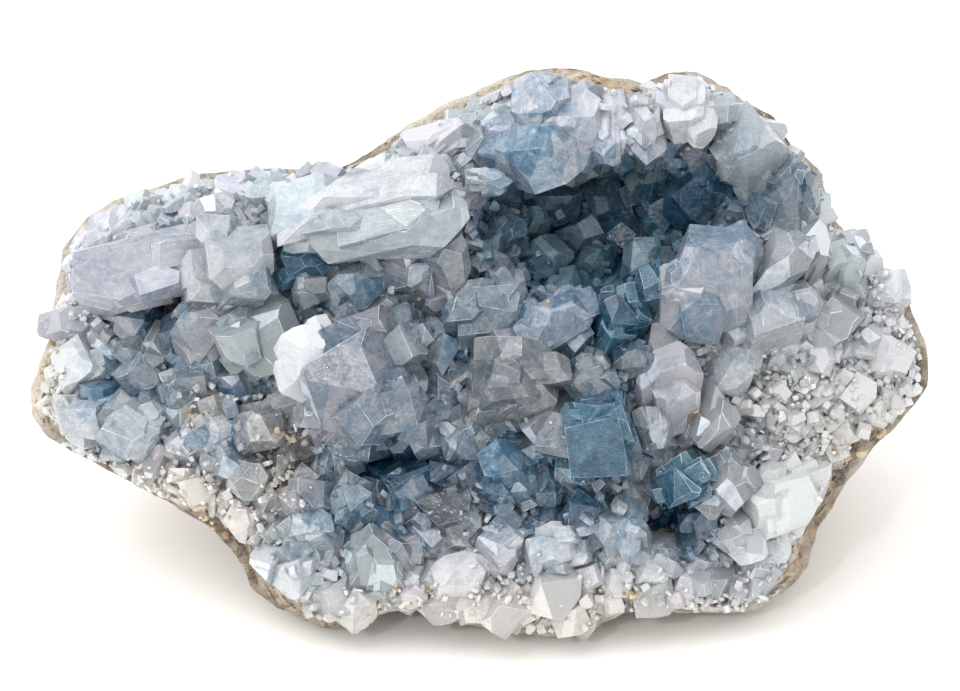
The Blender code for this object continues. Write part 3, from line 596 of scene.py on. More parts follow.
def bump(tree, height, strength, distance, below=None):
    """A normal from a height, on top of the normal given below it; the distance is in metres."""
    node = add_node(tree, "ShaderNodeBump", Strength=strength, Distance=distance)
    tree.links.new(height, node.inputs["Height"])
    if below is not None:
        tree.links.new(below, node.inputs["Normal"])
    return node.outputs["Normal"]


def crystal_marks(tree):
    """The crystal's own place in mm, and its marks: tint, height from root to tip, lightness."""
    mark = tree.nodes.new("ShaderNodeSeparateXYZ")
    tree.links.new(attribute(tree, "crystal").outputs["Vector"], mark.inputs[0])
    return attribute(tree, "own_place").outputs["Vector"], *mark.outputs[:3]


def weighted_sum(tree, first, *weighted):
    """first + weight * value + ..., for values given as (value, weight)."""
    for value, weight in weighted:
        first = mathematics(tree, "ADD", first, mathematics(tree, "MULTIPLY", value, weight))
    return first


def rising(tree, value, low, high, most=1.0):
    """0 up to the low value, and from there in a straight line to the most at the high one."""
    return ramp(tree, value, ((low, BLACK), (high, (most, most, most))))


def band(tree, value, middle, half):
    """1 where the value is at the middle, falling to 0 at half above or below it."""
    return ramp(tree, value, ((middle - half, BLACK), (middle, WHITE), (middle + half, BLACK)))


def balanced_sum(tree, *weighted):
    """The sum of weight * value, less half the weights, so that it is 0 where all values are 0.5."""
    return weighted_sum(tree, -0.5 * sum(weight for _, weight in weighted), *weighted)


def inner_planes(tree, coordinates, scale):
    """Planes inside the crystal that show where its faces cut them: cells of nearest points, each
    with a tone of its own."""
    cells = add_node(tree, "ShaderNodeTexVoronoi", Scale=scale)
    tree.links.new(coordinates, cells.inputs["Vector"])
    return cells.outputs["Color"]


def celestite_colour(tree, tone, cream, tint):
    """Blue-black, teal, grey-blue, pale grey and white by tone, or brown to cream where the growth
    is cream, and a little green or lilac by the crystal's tint."""
    cool = ramp(tree, tone, (
        (0.0, (0.006, 0.042, 0.092)), (0.25, (0.040, 0.128, 0.220)), (0.5, (0.19, 0.285, 0.375)),
        (0.72, (0.44, 0.48, 0.53)), (0.92, (0.62, 0.64, 0.665)),
    ))
    warm = ramp(tree, tone, (
        (0.0, (0.055, 0.045, 0.035)), (0.25, (0.17, 0.145, 0.12)), (0.5, (0.36, 0.325, 0.285)),
        (0.72, (0.57, 0.515, 0.44)), (0.92, (0.70, 0.665, 0.61)),
    ))
    tinted = ramp(tree, tint, ((0.0, (0.91, 1.0, 1.0)), (0.5, WHITE), (1.0, (1.02, 0.985, 1.03))))
    return mix_colour(tree, cream, mix_colour(tree, 1.0, cool, tinted, "MULTIPLY"), warm)


def crystal_material(name, lighter, warmer, transmission, roughness, absorption, density, haze_and_sparkle,
                     gloss=0.5, teal=0.0):
    """Celestite: glass with a cloudy share. Its tone comes from the place of growth, with painted shade
    in the hollow and the pits, the face, the planes inside, fine mottling and growth lines along the
    crystal, whiter at the root, and varies less where it is light, with white fractures and veils,
    and painted sparkle in white dots. Some crystals are a clearer teal."""
    material, tree, shader = shader_nodes(name)
    own, tint, height, light = crystal_marks(tree)
    cells = inner_planes(tree, stretched(tree, own, 0.45), 0.30)
    mottle = noise_value(tree, own, 0.62, 4.0, 0.74)
    drift = noise_value(tree, own, 0.13, 2.0, 0.6, 1.2)
    growth = noise_value(tree, stretched(tree, own, 0.07), 1.7, 2.0, 0.6)
    facet = attribute(tree, "facet").outputs["Fac"]
    change = balanced_sum(
        tree, (height, -0.10), (facet, 0.22), (cells, 0.34), (mottle, 0.75), (growth, 0.30),
    )
    calm = weighted_sum(tree, 1.25, (light, -0.75))
    tone = mathematics(tree, "ADD", light, mathematics(tree, "MULTIPLY", change, calm))
    tone = mathematics(tree, "ADD", tone, lighter)
    veils = band(tree, drift, 0.44, 0.030)
    fractures = band(tree, drift, 0.56, 0.012)
    # Painted sparkle: white dots where the mottling is highest stand in for glints.
    painted_sparkle = rising(tree, mottle, 0.62, 0.70)
    # White marks: real fractures and veils, with the painted sparkle.
    white = weighted_sum(tree, fractures, (veils, 0.5), (painted_sparkle, 0.7))
    tone = weighted_sum(tree, tone, (white, 0.22 * haze_and_sparkle))
    cream = attribute(tree, "cream").outputs["Fac"]
    cream = mathematics(tree, "ADD", cream, mathematics(tree, "MULTIPLY", drift, 0.5), clamp=True)
    cream = mathematics(tree, "ADD", cream, warmer - 0.28, clamp=True)
    body = celestite_colour(tree, tone, cream, tint)
    if teal:
        body = mix_colour(tree, teal, body, (0.52, 0.92, 1.0), "MULTIPLY")
    tree.links.new(body, shader.inputs["Base Color"])
    worn = ramp(tree, mottle, ((0.40, (roughness,) * 3), (0.66, (roughness + 0.25,) * 3)))
    tree.links.new(worn, shader.inputs["Roughness"])
    shader.inputs["Transmission Weight"].default_value = transmission
    shader.inputs["IOR"].default_value = CELESTITE_IOR
    shader.inputs["Specular IOR Level"].default_value = gloss
    tree.links.new(bump(tree, growth, 0.45, 0.0003), shader.inputs["Normal"])
    if density:
        volume = tree.nodes.new("ShaderNodeVolumeAbsorption")
        volume.inputs["Color"].default_value = (*absorption, 1)
        volume.inputs["Density"].default_value = density
        tree.links.new(volume.outputs["Volume"], tree.nodes["Material Output"].inputs["Volume"])
    return material


def worn_and_highlit_edge_material():
    """The worn edges of the crystals, with a painted highlight: lighter than the crystal, for chips
    and for the light caught along the edge, and broken up finely.
    """
    material, tree, shader = shader_nodes("worn_and_highlit_edge")
    own, tint, _, light = crystal_marks(tree)
    broken = noise_value(tree, own, 0.55, 3.0, 0.7)
    # Painted highlight: the edge is lifted well above the crystal's tone.
    tone = weighted_sum(tree, -0.55, (light, 0.8), (broken, 1.6))
    cream = attribute(tree, "cream").outputs["Fac"]
    tree.links.new(celestite_colour(tree, tone, cream, tint), shader.inputs["Base Color"])
    shader.inputs["Roughness"].default_value = 0.3
    shader.inputs["IOR"].default_value = CELESTITE_IOR
    return material


def rust_material():
    """Specks of iron stain: ochre to tan."""
    material, tree, shader = shader_nodes("rusty_specks")
    own, tint, _, _ = crystal_marks(tree)
    spots = weighted_sum(tree, 0.0, (tint, 0.5), (noise_value(tree, own, 1.2), 0.5))
    body = ramp(tree, spots, (
        (0.2, (0.24, 0.15, 0.07)), (0.45, (0.46, 0.33, 0.17)), (0.7, (0.62, 0.53, 0.38)),
    ))
    tree.links.new(body, shader.inputs["Base Color"])
    shader.inputs["Roughness"].default_value = 0.45
    return material


def crust_material():
    """Massive sugary celestite in the tone of its place, cream and white towards the rim, nearly
    black blue in the hollow and the pits as painted shade, a little darker between the crystals as
    painted shade, with rusty stains, and bare rock on arcs of the edge."""
    material, tree, shader = shader_nodes("sugary_crust")
    place_on = tree.nodes.new("ShaderNodeTexCoord").outputs["Object"]
    where = tree.nodes.new("ShaderNodeSeparateXYZ")
    tree.links.new(attribute(tree, "where").outputs["Vector"], where.inputs[0])
    light, cream, grain = where.outputs
    patches = noise_value(tree, place_on, 110.0, 4.0, 0.65)
    speckle = noise_value(tree, place_on, 480.0, 4.0, 0.7)
    change = balanced_sum(tree, (patches, 0.5), (speckle, 0.8), (grain, 0.22))
    # Painted shade: the crust between the crystals is a little darker.
    tone = mathematics(tree, "ADD", mathematics(tree, "ADD", light, change), -0.03)
    tone = weighted_sum(tree, tone, (cream, 0.18))
    body = celestite_colour(tree, tone, cream, grain)
    rust = rising(tree, noise_value(tree, place_on, 85.0, 4.0, 0.6, 0.8), 0.54, 0.66)
    rust = mathematics(tree, "MULTIPLY", rust, mathematics(tree, "MULTIPLY", cream, 0.8))
    body = mix_colour(tree, rust, body, (0.40, 0.29, 0.17))
    rock = attribute(tree, "bare").outputs["Fac"]
    body = mix_colour(tree, rock, body, rock_colour(tree, place_on))
    tree.links.new(body, shader.inputs["Base Color"])
    shader.inputs["Roughness"].default_value = 0.45
    shader.inputs["Specular IOR Level"].default_value = 0.55
    normal = bump(tree, speckle, 0.6, 0.0008)
    fine = noise_value(tree, place_on, 1500.0, 2.0, 0.6)
    tree.links.new(bump(tree, fine, 0.3, 0.0003, normal), shader.inputs["Normal"])
    return material


def rock_colour(tree, place_on):
    """Tan and grey-brown: broad mottling, patches of painted shade, dark specks and rusty stains."""
    broad = noise_value(tree, place_on, 60.0, 5.0, 0.62, 0.6)
    body = ramp(tree, broad, (
        (0.30, (0.20, 0.16, 0.12)), (0.43, (0.33, 0.275, 0.21)), (0.53, (0.45, 0.39, 0.31)),
        (0.64, (0.57, 0.515, 0.43)), (0.76, (0.70, 0.66, 0.59)),
    ))
    # Painted shade: darker patches, as of small pits in the rock.
    painted_pit_shade = noise_value(tree, place_on, 230.0, 4.0, 0.7)
    painted_pit_shade = ramp(tree, painted_pit_shade, ((0.36, (0.50, 0.45, 0.40)), (0.54, WHITE)))
    body = mix_colour(tree, 0.8, body, painted_pit_shade, "MULTIPLY")
    specks = noise_value(tree, place_on, 620.0, 4.0, 0.75)
    specks = ramp(tree, specks, ((0.38, (0.30, 0.26, 0.22)), (0.52, WHITE)))
    body = mix_colour(tree, 0.85, body, specks, "MULTIPLY")
    stain = rising(tree, noise_value(tree, place_on, 42.0, 3.0, 0.6), 0.54, 0.68)
    return mix_colour(tree, mathematics(tree, "MULTIPLY", stain, 0.5), body, (0.40, 0.27, 0.14))


def rind_material():
    """The rock: its colour, a paler mineral bloom towards the rim, and a rough surface."""
    material, tree, shader = shader_nodes("rock_rind")
    place_on = tree.nodes.new("ShaderNodeTexCoord").outputs["Object"]
    body = rock_colour(tree, place_on)
    bloom = rising(tree, noise_value(tree, place_on, 75.0, 4.0, 0.6), 0.44, 0.62, 0.8)
    rim = attribute(tree, "rim").outputs["Fac"]
    body = mix_colour(tree, mathematics(tree, "MULTIPLY", bloom, rim), body, (0.68, 0.62, 0.53))
    tree.links.new(body, shader.inputs["Base Color"])
    shader.inputs["Roughness"].default_value = 0.88
    coarse = noise_value(tree, place_on, 330.0, 5.0, 0.75)
    normal = bump(tree, coarse, 0.9, 0.0022)
    fine = noise_value(tree, place_on, 2200.0, 2.0, 0.6)
    tree.links.new(bump(tree, fine, 0.4, 0.0003, normal), shader.inputs["Normal"])
    return material


# The rind and the crust

def rock_rind(material):
    """The rock: rings round the face, closed by a point at each end. In front they follow the
    bowl; behind, each ring is the outline drawn in by cos(turn)^0.52 and set back by sin(turn),
    then swollen by rolling lumps, ledges and finer noise. All of it is kept inside the solids' box,
    so it is flat where it meets the table."""
    steps = 420
    angle = np.linspace(0, ROUND, steps, endpoint=False)
    rings, rims = [], []
    for share in (0.3, 0.6, 0.8, 0.9, 0.94, 0.96, 0.975, 0.99):
        across, up = ring_at(share, angle)
        lip = RIND_LIP * float(smooth_step((share - 0.93) / 0.04))
        ragged = noise(np.stack((across, up, 0 * up), -1), 2.2, 7) * 0.5 * (share > 0.95)
        rings.append(np.stack((across, up, bowl(across, up) + lip + ragged), -1))
        rims.append(np.full(steps, 1.0))
    edge_across, edge_up = ring_at(1.0, angle)
    edge = bowl(edge_across, edge_up)
    for turn in np.linspace(0, ROUND / 4, 120, endpoint=False):
        narrowing = math.cos(turn) ** 0.52
        across, up = narrowing * edge_across, narrowing * edge_up
        out = edge * math.cos(turn) ** 2 + RIND_BACK * math.sin(turn) + 0.4 * RIND_LIP * math.cos(turn) ** 6
        rough = 4.4 * lumps(across, up, out, 9.0) + 1.4 * lumps(up, out, across, 3.7)
        ledges = 1.5 * np.tanh(4 * np.sin(out / 4.0 + 1.5 * lumps(across, up, out, 14.0)))
        spot = np.stack((across, up, out), -1)
        fine = 0.9 * noise(spot, 4.0, 1) + 0.55 * noise(spot, 1.7, 2) + 0.25 * noise(spot, 0.8, 3)
        crumbs = 0.5 * packed_grains(spot, 3.2, 4)[0]
        bulge = float(smooth_step(turn / 0.6)) * (rough + ledges - 3.2)
        skin = (fine + crumbs - 0.8) * (0.4 + 0.6 * float(smooth_step(turn / 0.3)))
        swell = 1 + (bulge + skin) / np.hypot(across, up)
        depth = out - (1.1 * rough + fine) * math.sin(turn)
        rings.append(np.stack((across * swell, up * swell, depth), -1))
        rims.append(np.full(steps, math.cos(turn) ** 4))
    points = np.concatenate((*rings, [rings[0].mean(axis=0)], [rings[-1].mean(axis=0)]))
    world = np.clip(place(points), *np.array(cad_box))
    faces = ring_faces(len(rings), steps)[:, ::-1]
    return mesh_object("rock_rind_surface", world, faces, [material], flat=False,
                       rim=np.concatenate((*rims, [1.0], [0.0])))


def massive_crust(material):
    """The sugary crust: a lens over the bowl, its top lifted by packed grains of two sizes, finer
    towards the rim, and its underside just clear of the rind."""
    steps = 560
    angle = np.linspace(0, ROUND, steps, endpoint=False)
    share = np.concatenate((np.linspace(0.02, 0.8, 96), np.linspace(0.81, CRUST_EDGE, 42)))[:, None]
    across, up = ring_at(share, angle)
    spot = np.stack((across, up, bowl(across, up)), -1)
    coarse, number = packed_grains(spot, LARGE_GRAINS, 11)
    fine, fleck = packed_grains(spot, FINE_GRAINS, 12)
    near_rim = smooth_step((share - 0.78) / 0.2)
    gentle = 1 - 0.45 * paleness(across, up)
    lift = gentle * (3.0 * (1 - 0.6 * near_rim) * coarse + 1.5 * fine)
    drop = 2.2 * smooth_step((share - 0.93) / 0.055)
    top = np.stack((across, up, crust_top(across, up) + lift - drop), -1)
    across_under, up_under = ring_at(np.array((CRUST_EDGE, 0.9, 0.6, 0.3))[:, None], angle)
    under = np.stack((across_under, up_under, bowl(across_under, up_under) + CRUST_GAP), -1)
    points = np.concatenate((top, under))
    rings = len(points)
    ends = [(0, 0, float(top[0, :, 2].mean())), (0, 0, float(under[-1, :, 2].mean()))]
    flat_points = np.concatenate((points.reshape(-1, 3), ends))
    wide, high = flat_points[:, 0], flat_points[:, 1]
    # Painted shade: the crust in and round the pits is darker.
    pits = 0 * wide
    for hill, rise in hills(SWELLINGS, wide, high, PIT_SHADE):
        if rise < 0:
            pits += 0.3 * hill
    grain = np.concatenate((0.5 * (number + fleck).ravel(), np.full(len(under) * steps + 2, 0.5)))
    where = np.stack((lightness(wide, high) - pits, place_share(CREAM_PLACES, wide, high), grain), -1)
    return mesh_object("massive_crust", place(flat_points), ring_faces(rings, steps), [material],
                       where=where, bare=bare_rock(wide, high))


# Crystals

def crystal_faces(habit, half_length, half_width, half_thick):
    """The flat faces round a crystal that grows along z: each face's outward direction, and its
    distance from the middle as a share of what the crystal's block reaches in that direction."""
    sides = [((1, 0, 0), 1.0), ((-1, 0, 0), 1.0), ((0, 1, 0), 1.0), ((0, -1, 0), 1.0)]
    ends = [((0, 0, 1), 1.0), ((0, 0, -1), 1.0)]
    if habit == "block":
        sides += [((1, -1, 0), 0.84), ((-1, 1, 0), 0.86)]
        ends += [((1, 0, 1.2), 0.86), ((-1, 0, 1.2), 0.78), ((0, -1, 1.1), 0.84)]
    elif habit == "cube":
        sides += [((1, 1, 0), 0.93), ((-1, -1, 0), 0.95)]
        ends += [((1, 0, 1), 0.94), ((0, -1, 1), 0.95)]
    elif habit == "chisel":
        sides += [((1, 1.2, 0), 0.84), ((-1, -1.2, 0), 0.84), ((1, -1.2, 0), 0.86)]
        ends += [((1, 0, 0.8), 0.66), ((-1, 0, 0.8), 0.7), ((0, -1, 0.7), 0.8)]
    elif habit == "point":
        sides = [((x, y, 0), 0.8) for x, y in ((1, 1), (-1, 1), (1, -1), (-1, -1))]
        sides += [((0, 1, 0), 1.0), ((0, -1, 0), 1.0)]
        ends += [((1, 0.2, 0.5), 0.58), ((-1, 0.2, 0.5), 0.6), ((0.2, 1, 0.6), 0.6), ((0, -1, 0.6), 0.64)]
    elif habit == "stub":
        sides += [((1, -1, 0), 0.84)]
        ends += [((1, 0.3, 0.9), 0.74), ((-0.6, 1, 0.9), 0.74), ((-0.4, -1, 0.8), 0.78)]
    directions = np.array([direction for direction, _ in sides + ends], float)
    directions /= np.linalg.norm(directions, axis=1, keepdims=True)
    span = np.abs(directions) @ (half_width, half_thick, half_length)
    return directions, span * [share for _, share in sides + ends]


def solid_inside(directions, reaches):
    """The solid inside a set of flat faces: its corners are where three faces meet (the point p
    with n.p = reach for all three) inside every other face, and each face's own corners go round
    it in the order of their angle about its direction."""
    triples = np.array(list(itertools.combinations(range(len(reaches)), 3)))
    normals = directions[triples]
    meet = np.abs(np.linalg.det(normals)) > 0.02
    corners = np.linalg.solve(normals[meet], reaches[triples[meet]][..., None])[..., 0]
    corners = corners[(corners @ directions.T <= reaches + 1e-5).all(axis=1)]
    corners = np.unique(corners.round(3), axis=0)
    faces = []
    for direction, reach in zip(directions, reaches):
        on = np.flatnonzero(np.abs(corners @ direction - reach) < 4e-3)
        if len(on) < 3:
            continue
        arms = corners[on] - corners[on].mean(axis=0)
        side = np.cross(direction, arms[0])
        sideways = arms @ side / np.linalg.norm(side)
        ahead = arms @ arms[0] / np.linalg.norm(arms[0])
        faces.append(on[np.argsort(np.arctan2(sideways, ahead))])
    return corners, faces


def about_out(angle):
    """The turn by an angle about the out direction."""
    c, s = math.cos(angle), math.sin(angle)
    return np.array(((c, -s, 0), (s, c, 0), (0, 0, 1)))


def crystal_frame(tilt, heading, turn):
    """The crystal's axes in the face frame: turned about its length, tilted, then headed."""
    tilt, heading, turn = np.radians((tilt, heading, turn))
    c, s = math.cos(tilt), math.sin(tilt)
    tilted = np.array(((c, 0, s), (0, 1, 0), (-s, 0, c)))
    return about_out(heading) @ tilted @ about_out(turn - heading)


def jittered_faces(crystal, jitter):
    """A crystal's faces, each a little skewed and shifted by chance."""
    length, width, thick = crystal[3:6]
    habit = crystal[9]
    directions, reaches = crystal_faces(habit, length / 2, width / 2, thick / 2)
    skewed = []
    for direction, reach in zip(directions, reaches):
        direction = direction + jitter.uniform(-0.06, 0.06, 3)
        skewed.append((direction / np.linalg.norm(direction), reach * jitter.uniform(0.94, 1.06)))
    return np.array([d for d, _ in skewed]), np.array([r for _, r in skewed])


# A grown crystal: its finish; its corners in the face frame and in its own; their marks and share of
# cream; its faces as rings of corners, with each one's tone and whether it is frosted; and its flat
# sides as directions and distances from its middle
Shape = namedtuple("Shape", "finish corners own marks cream faces facets frosted normals reaches middle")

# How often an edge of each finish is worn white on one side, with a painted highlight along it
WORN_AND_HIGHLIT_EDGES = {"clear": 0.4, "teal": 0.85, "milky": 0.3, "frosted": 0.3, "smoky": 0.3, "deep": 0.3}

# How often a face of each finish is frosted over
FROSTED_FACES = {"clear": 0.10, "teal": 0.0, "milky": 0.14, "frosted": 0.25, "smoky": 0.06, "deep": 0.0}


def chipped(directions, reaches, crystal, cuts, chance):
    """More faces that take off corners, mostly at the tip: each in a random direction, at a share
    of how far the crystal's block reaches that way. A large crystal gets 4 more. The faces that it
    has are skewed a little more."""
    length, width, thick = crystal[3:6]
    directions = directions + chance.normal(0, 0.06, directions.shape)
    directions = [*(directions / np.linalg.norm(directions, axis=1, keepdims=True))]
    reaches = [*reaches]
    cuts += 4 * (cuts > 3 and length > 17)
    half = np.array((width, thick, length)) / 2
    for _ in range(cuts):
        direction = chance.normal(0, 1, 3) + (0, 0, 0.7)
        direction /= np.linalg.norm(direction)
        directions.append(direction)
        reaches.append(np.abs(direction) @ half * chance.uniform(0.56, 0.84))
    return np.array(directions), np.array(reaches)


def broken_flats(across, up):
    """The flats on which a crystal is broken off, each as a direction and a distance from the
    face's origin: the outline, drawn in where the rock of the edge shows, the top and the
    front of the solids' box, and the table."""
    angle = math.atan2(up, across)
    turn = math.degrees(angle) % 360
    width = max([w for first, last, w in BARE_ARCS if first < turn < last], default=-0.02)
    top = cad_box[1][2] / MM - FACE_MIDDLE[2] - 0.1
    front = FACE_MIDDLE[1] - cad_box[0][1] / MM - 0.1
    edge = (1 - 0.9 * width) * float(outline_radius(angle))
    high = np.array((0, math.cos(LEAN), math.sin(LEAN)))
    near = np.array((0, -math.sin(LEAN), math.cos(LEAN)))
    outwards = np.array((math.cos(angle), math.sin(angle), 0))
    table = FACE_MIDDLE[2] - 0.3
    return np.array((outwards, high, near, -high)), np.array((edge, top, front, table))


def sibling(crystal, sides, extra, cuts, chance):
    """A smaller crystal in nearly the same position of growth, set to the crystal's side."""
    length, width, thick = crystal[3:6]
    size = chance.uniform(0.34, 0.70)
    turn = chance.uniform(0, ROUND)
    offset = np.array((math.cos(turn) * width, math.sin(turn) * thick, 0)) * 0.5 * (1.20 - size * 0.8)
    offset[2] = chance.uniform(-0.30, 0.14) * length
    directions, reaches = chipped(*sides, crystal, cuts, chance)
    askew = crystal_frame(chance.uniform(0, 14), chance.uniform(0, 360), chance.uniform(-12, 12))
    reaches = reaches * size * chance.uniform(0.88, 1.1, len(reaches))
    return directions, reaches, offset, askew, extra + chance.normal(0, 0.06)


def grow(crystals, jitter, siblings, cuts, chance):
    """Each crystal with its siblings, so that its faces are stepped. A crystal with many of them is
    itself made a little smaller and set forward. All are broken off at the outline."""
    grown = []
    for crystal in crystals:
        across, up, lift, length, width, _, tilt, heading, turn, habit, finish = crystal
        sides = jittered_faces(crystal, jitter)
        turned = crystal_frame(tilt, heading, turn)
        middle = np.array((across, up, float(crust_top(across, up)) + lift))
        tint = chance.uniform(0, 1)
        extra = chance.normal(0, 0.04)
        shift = chance.uniform(0, 400, 3)
        breaks, limits = broken_flats(across, up)
        normals, reach = chipped(*sides, crystal, cuts * (habit != "cube"), chance)
        main = 0.84 if siblings > 3 and (length < 19 or width > 17) else 1.0
        forward = np.array((0, 0, 0.16 * (1 - main) * length))
        shapes = [(normals, reach * main, forward, np.eye(3), extra)]
        shapes += [sibling(crystal, sides, extra, cuts, chance) for _ in range(siblings)]
        for normals, reach, offset, askew, extra in shapes:
            carried = turned @ askew
            start = middle + turned @ offset
            normals = np.concatenate((normals, breaks @ carried))
            reach = np.append(reach, limits - breaks @ start)
            corners, faces = solid_inside(normals, reach)
            if len(corners) < 4:
                continue
            high = ((corners @ askew.T + offset)[:, 2] / length + 0.5).clip(0, 1)
            corners_at = corners @ carried.T + start
            overhang = rim_share(corners_at[:, 0], corners_at[:, 1]).max()
            if offset.any() and overhang > (TOP_OVERHANG if up > TOP_EDGE_UP else OTHER_OVERHANG):
                continue
            inner = middle[:2] + 0.3 * (corners_at[:, :2] - middle[:2])
            marks, cream = marks_at(inner[:, 0], inner[:, 1], tint, high, extra)
            grown.append(Shape(
                finish, corners_at, corners + offset + shift, marks, cream, faces,
                chance.uniform(0, 1, len(faces)), chance.uniform(0, 1, len(faces)) < FROSTED_FACES[finish],
                normals @ carried.T, reach + normals @ carried.T @ (start - middle), middle,
            ))
    return grown


def edged(shape, width):
    """A crystal's faces with a strip along every edge, for the worn edges with a painted highlight: each
    corner v of a face is drawn in to v + w (a + b) / sin(t), where a and b are the unit arms to its
    neighbours and t the angle between them. The width differs by face. Returns the points' corners,
    the points, the faces and which of them are strips."""
    at, points, faces, strips = [], [shape.corners], [], []
    count = len(shape.corners)
    for ring in shape.faces:
        corners = shape.corners[ring]
        ahead = np.roll(corners, -1, axis=0) - corners
        long = np.linalg.norm(ahead, axis=1, keepdims=True)
        arm = ahead / long.clip(1e-6)
        back = -np.roll(arm, 1, axis=0)
        sine = np.linalg.norm(np.cross(arm, back), axis=1, keepdims=True).clip(0.3)
        inset = min(width * (0.5 + shape.facets[len(at)]), 0.22 * long.min() + 0.02)
        points.append(corners + inset * (arm + back) / sine)
        inner = np.arange(count, count + len(ring))
        count += len(ring)
        at.append(ring)
        faces.append(inner)
        faces += list(np.stack((ring, np.roll(ring, -1), np.roll(inner, -1), inner), -1))
        strips += [False] + [True] * len(ring)
    at = np.concatenate((np.arange(len(shape.corners)), *at))
    return at, np.concatenate(points), faces, np.array(strips)


def crystal_object(name, grown, materials, width):
    """Joins grown crystals into one mesh. Some of the strips along their edges are worn white with a
    painted highlight, in the last material; the others have their face's own."""
    chance = np.random.default_rng(61)
    points, own, marks, cream, faces, facets, which, count = [], [], [], [], [], [], [], 0
    for shape in grown:
        at, spots, rings, strips = edged(shape, width)
        sides = np.array([1 + len(ring) for ring in shape.faces])
        points.append(spots)
        own.append(shape.own[at])
        marks.append(shape.marks[at])
        cream.append(shape.cream[at])
        faces += [(ring + count).tolist() for ring in rings]
        facets.append(np.repeat(shape.facets, sides))
        # Worn edges with a painted highlight: these strips take the last material.
        worn = strips & (chance.uniform(0, 1, len(strips)) < WORN_AND_HIGHLIT_EDGES[shape.finish])
        which.append(np.where(worn, len(materials) - 1, np.repeat(shape.frosted, sides)))
        count += len(spots)
    return mesh_object(
        name, place(np.concatenate(points)), faces, materials, which=np.concatenate(which),
        facet=np.concatenate(facets), own_place=np.concatenate(own), crystal=np.concatenate(marks),
        cream=np.concatenate(cream),
    )


def relief(across, up, grown):
    """The first surface met from outside, looking against the out direction: over each flat-faced
    crystal the line leaves where (reach - n.p) / n.out is least among the faces turned outwards,
    if that lies above where it entered. Returns its height over the crust, its out and its normal."""
    ground = crust_top(across, up)
    height = ground.copy()
    normal = np.zeros((len(across), 3)) + (0, 0, 1)
    for shape in grown:
        away = np.stack((across - shape.middle[0], up - shape.middle[1]), -1)
        widest = np.hypot(*(shape.corners[:, :2] - shape.middle[:2]).T).max()
        near = np.flatnonzero(np.hypot(*away.T) < widest)
        if not len(near):
            continue
        outward = shape.normals[:, 2]
        room = shape.reaches - away[near] @ shape.normals[:, :2].T
        with np.errstate(divide="ignore"):
            meet = room / outward
        leave = np.where(outward > 1e-6, meet, np.inf)
        enter = np.where(outward < -1e-6, meet, -np.inf).max(axis=1)
        face = leave.argmin(axis=1)
        top = leave.min(axis=1)
        higher = (top > enter) & (top + shape.middle[2] > height[near])
        height[near[higher]] = top[higher] + shape.middle[2]
        normal[near[higher]] = shape.normals[face[higher]]
    return height - ground, height, normal


def filler_crystals(chance, count, sizes, taken):
    """Crystals for the free places of the crust, kept clear of those in taken."""
    limit, spacing = 0.9, 3.8
    found = []
    tries = 0
    while len(found) < count and tries < 40 * count:
        tries += 1
        across, up = chance.uniform(-75, 75), chance.uniform(-47, 47)
        share = float(rim_share(across, up))
        in_hollow = hollow_hill(across, up) > 0
        size = chance.uniform(*sizes)
        shape = chance.uniform(0.8, 1.2, 2)
        tilt, heading, turn = chance.uniform(5, 38), chance.uniform(0, 360), chance.uniform(0, 90)
        crowded = any(
            math.hypot(across - x, up - y) < max(half + 0.3 * size, spacing) for x, y, half in taken
        )
        if share > limit or in_hollow or crowded:
            continue
        if share > 0.72:
            heading = math.degrees(math.atan2(up, across)) + chance.uniform(-50, 50)
        taken.append((across, up, 0.4 * size))
        found.append((
            across, up, 0.16 * size, 1.35 * size, size * shape[0], 0.85 * size * shape[1],
            tilt, heading, turn, "stub",
        ))
    return found


def rim_crystals():
    """Stubby crystals side by side along the lower edge of the crust, leaning outwards."""
    chance = np.random.default_rng(12)
    found = []
    for degrees in np.linspace(202, 342, 20):
        angle = math.radians(degrees + chance.uniform(-2.5, 2.5))
        reach = chance.uniform(0.87, 0.93) * float(outline_radius(angle))
        size = chance.uniform(4.2, 6.8)
        found.append((
            reach * math.cos(angle), reach * math.sin(angle), 0.1 * size, 1.2 * size, size,
            chance.uniform(0.7, 0.95) * size, chance.uniform(15, 45),
            degrees + chance.uniform(-40, 40), chance.uniform(0, 90), "stub",
        ))
    return found


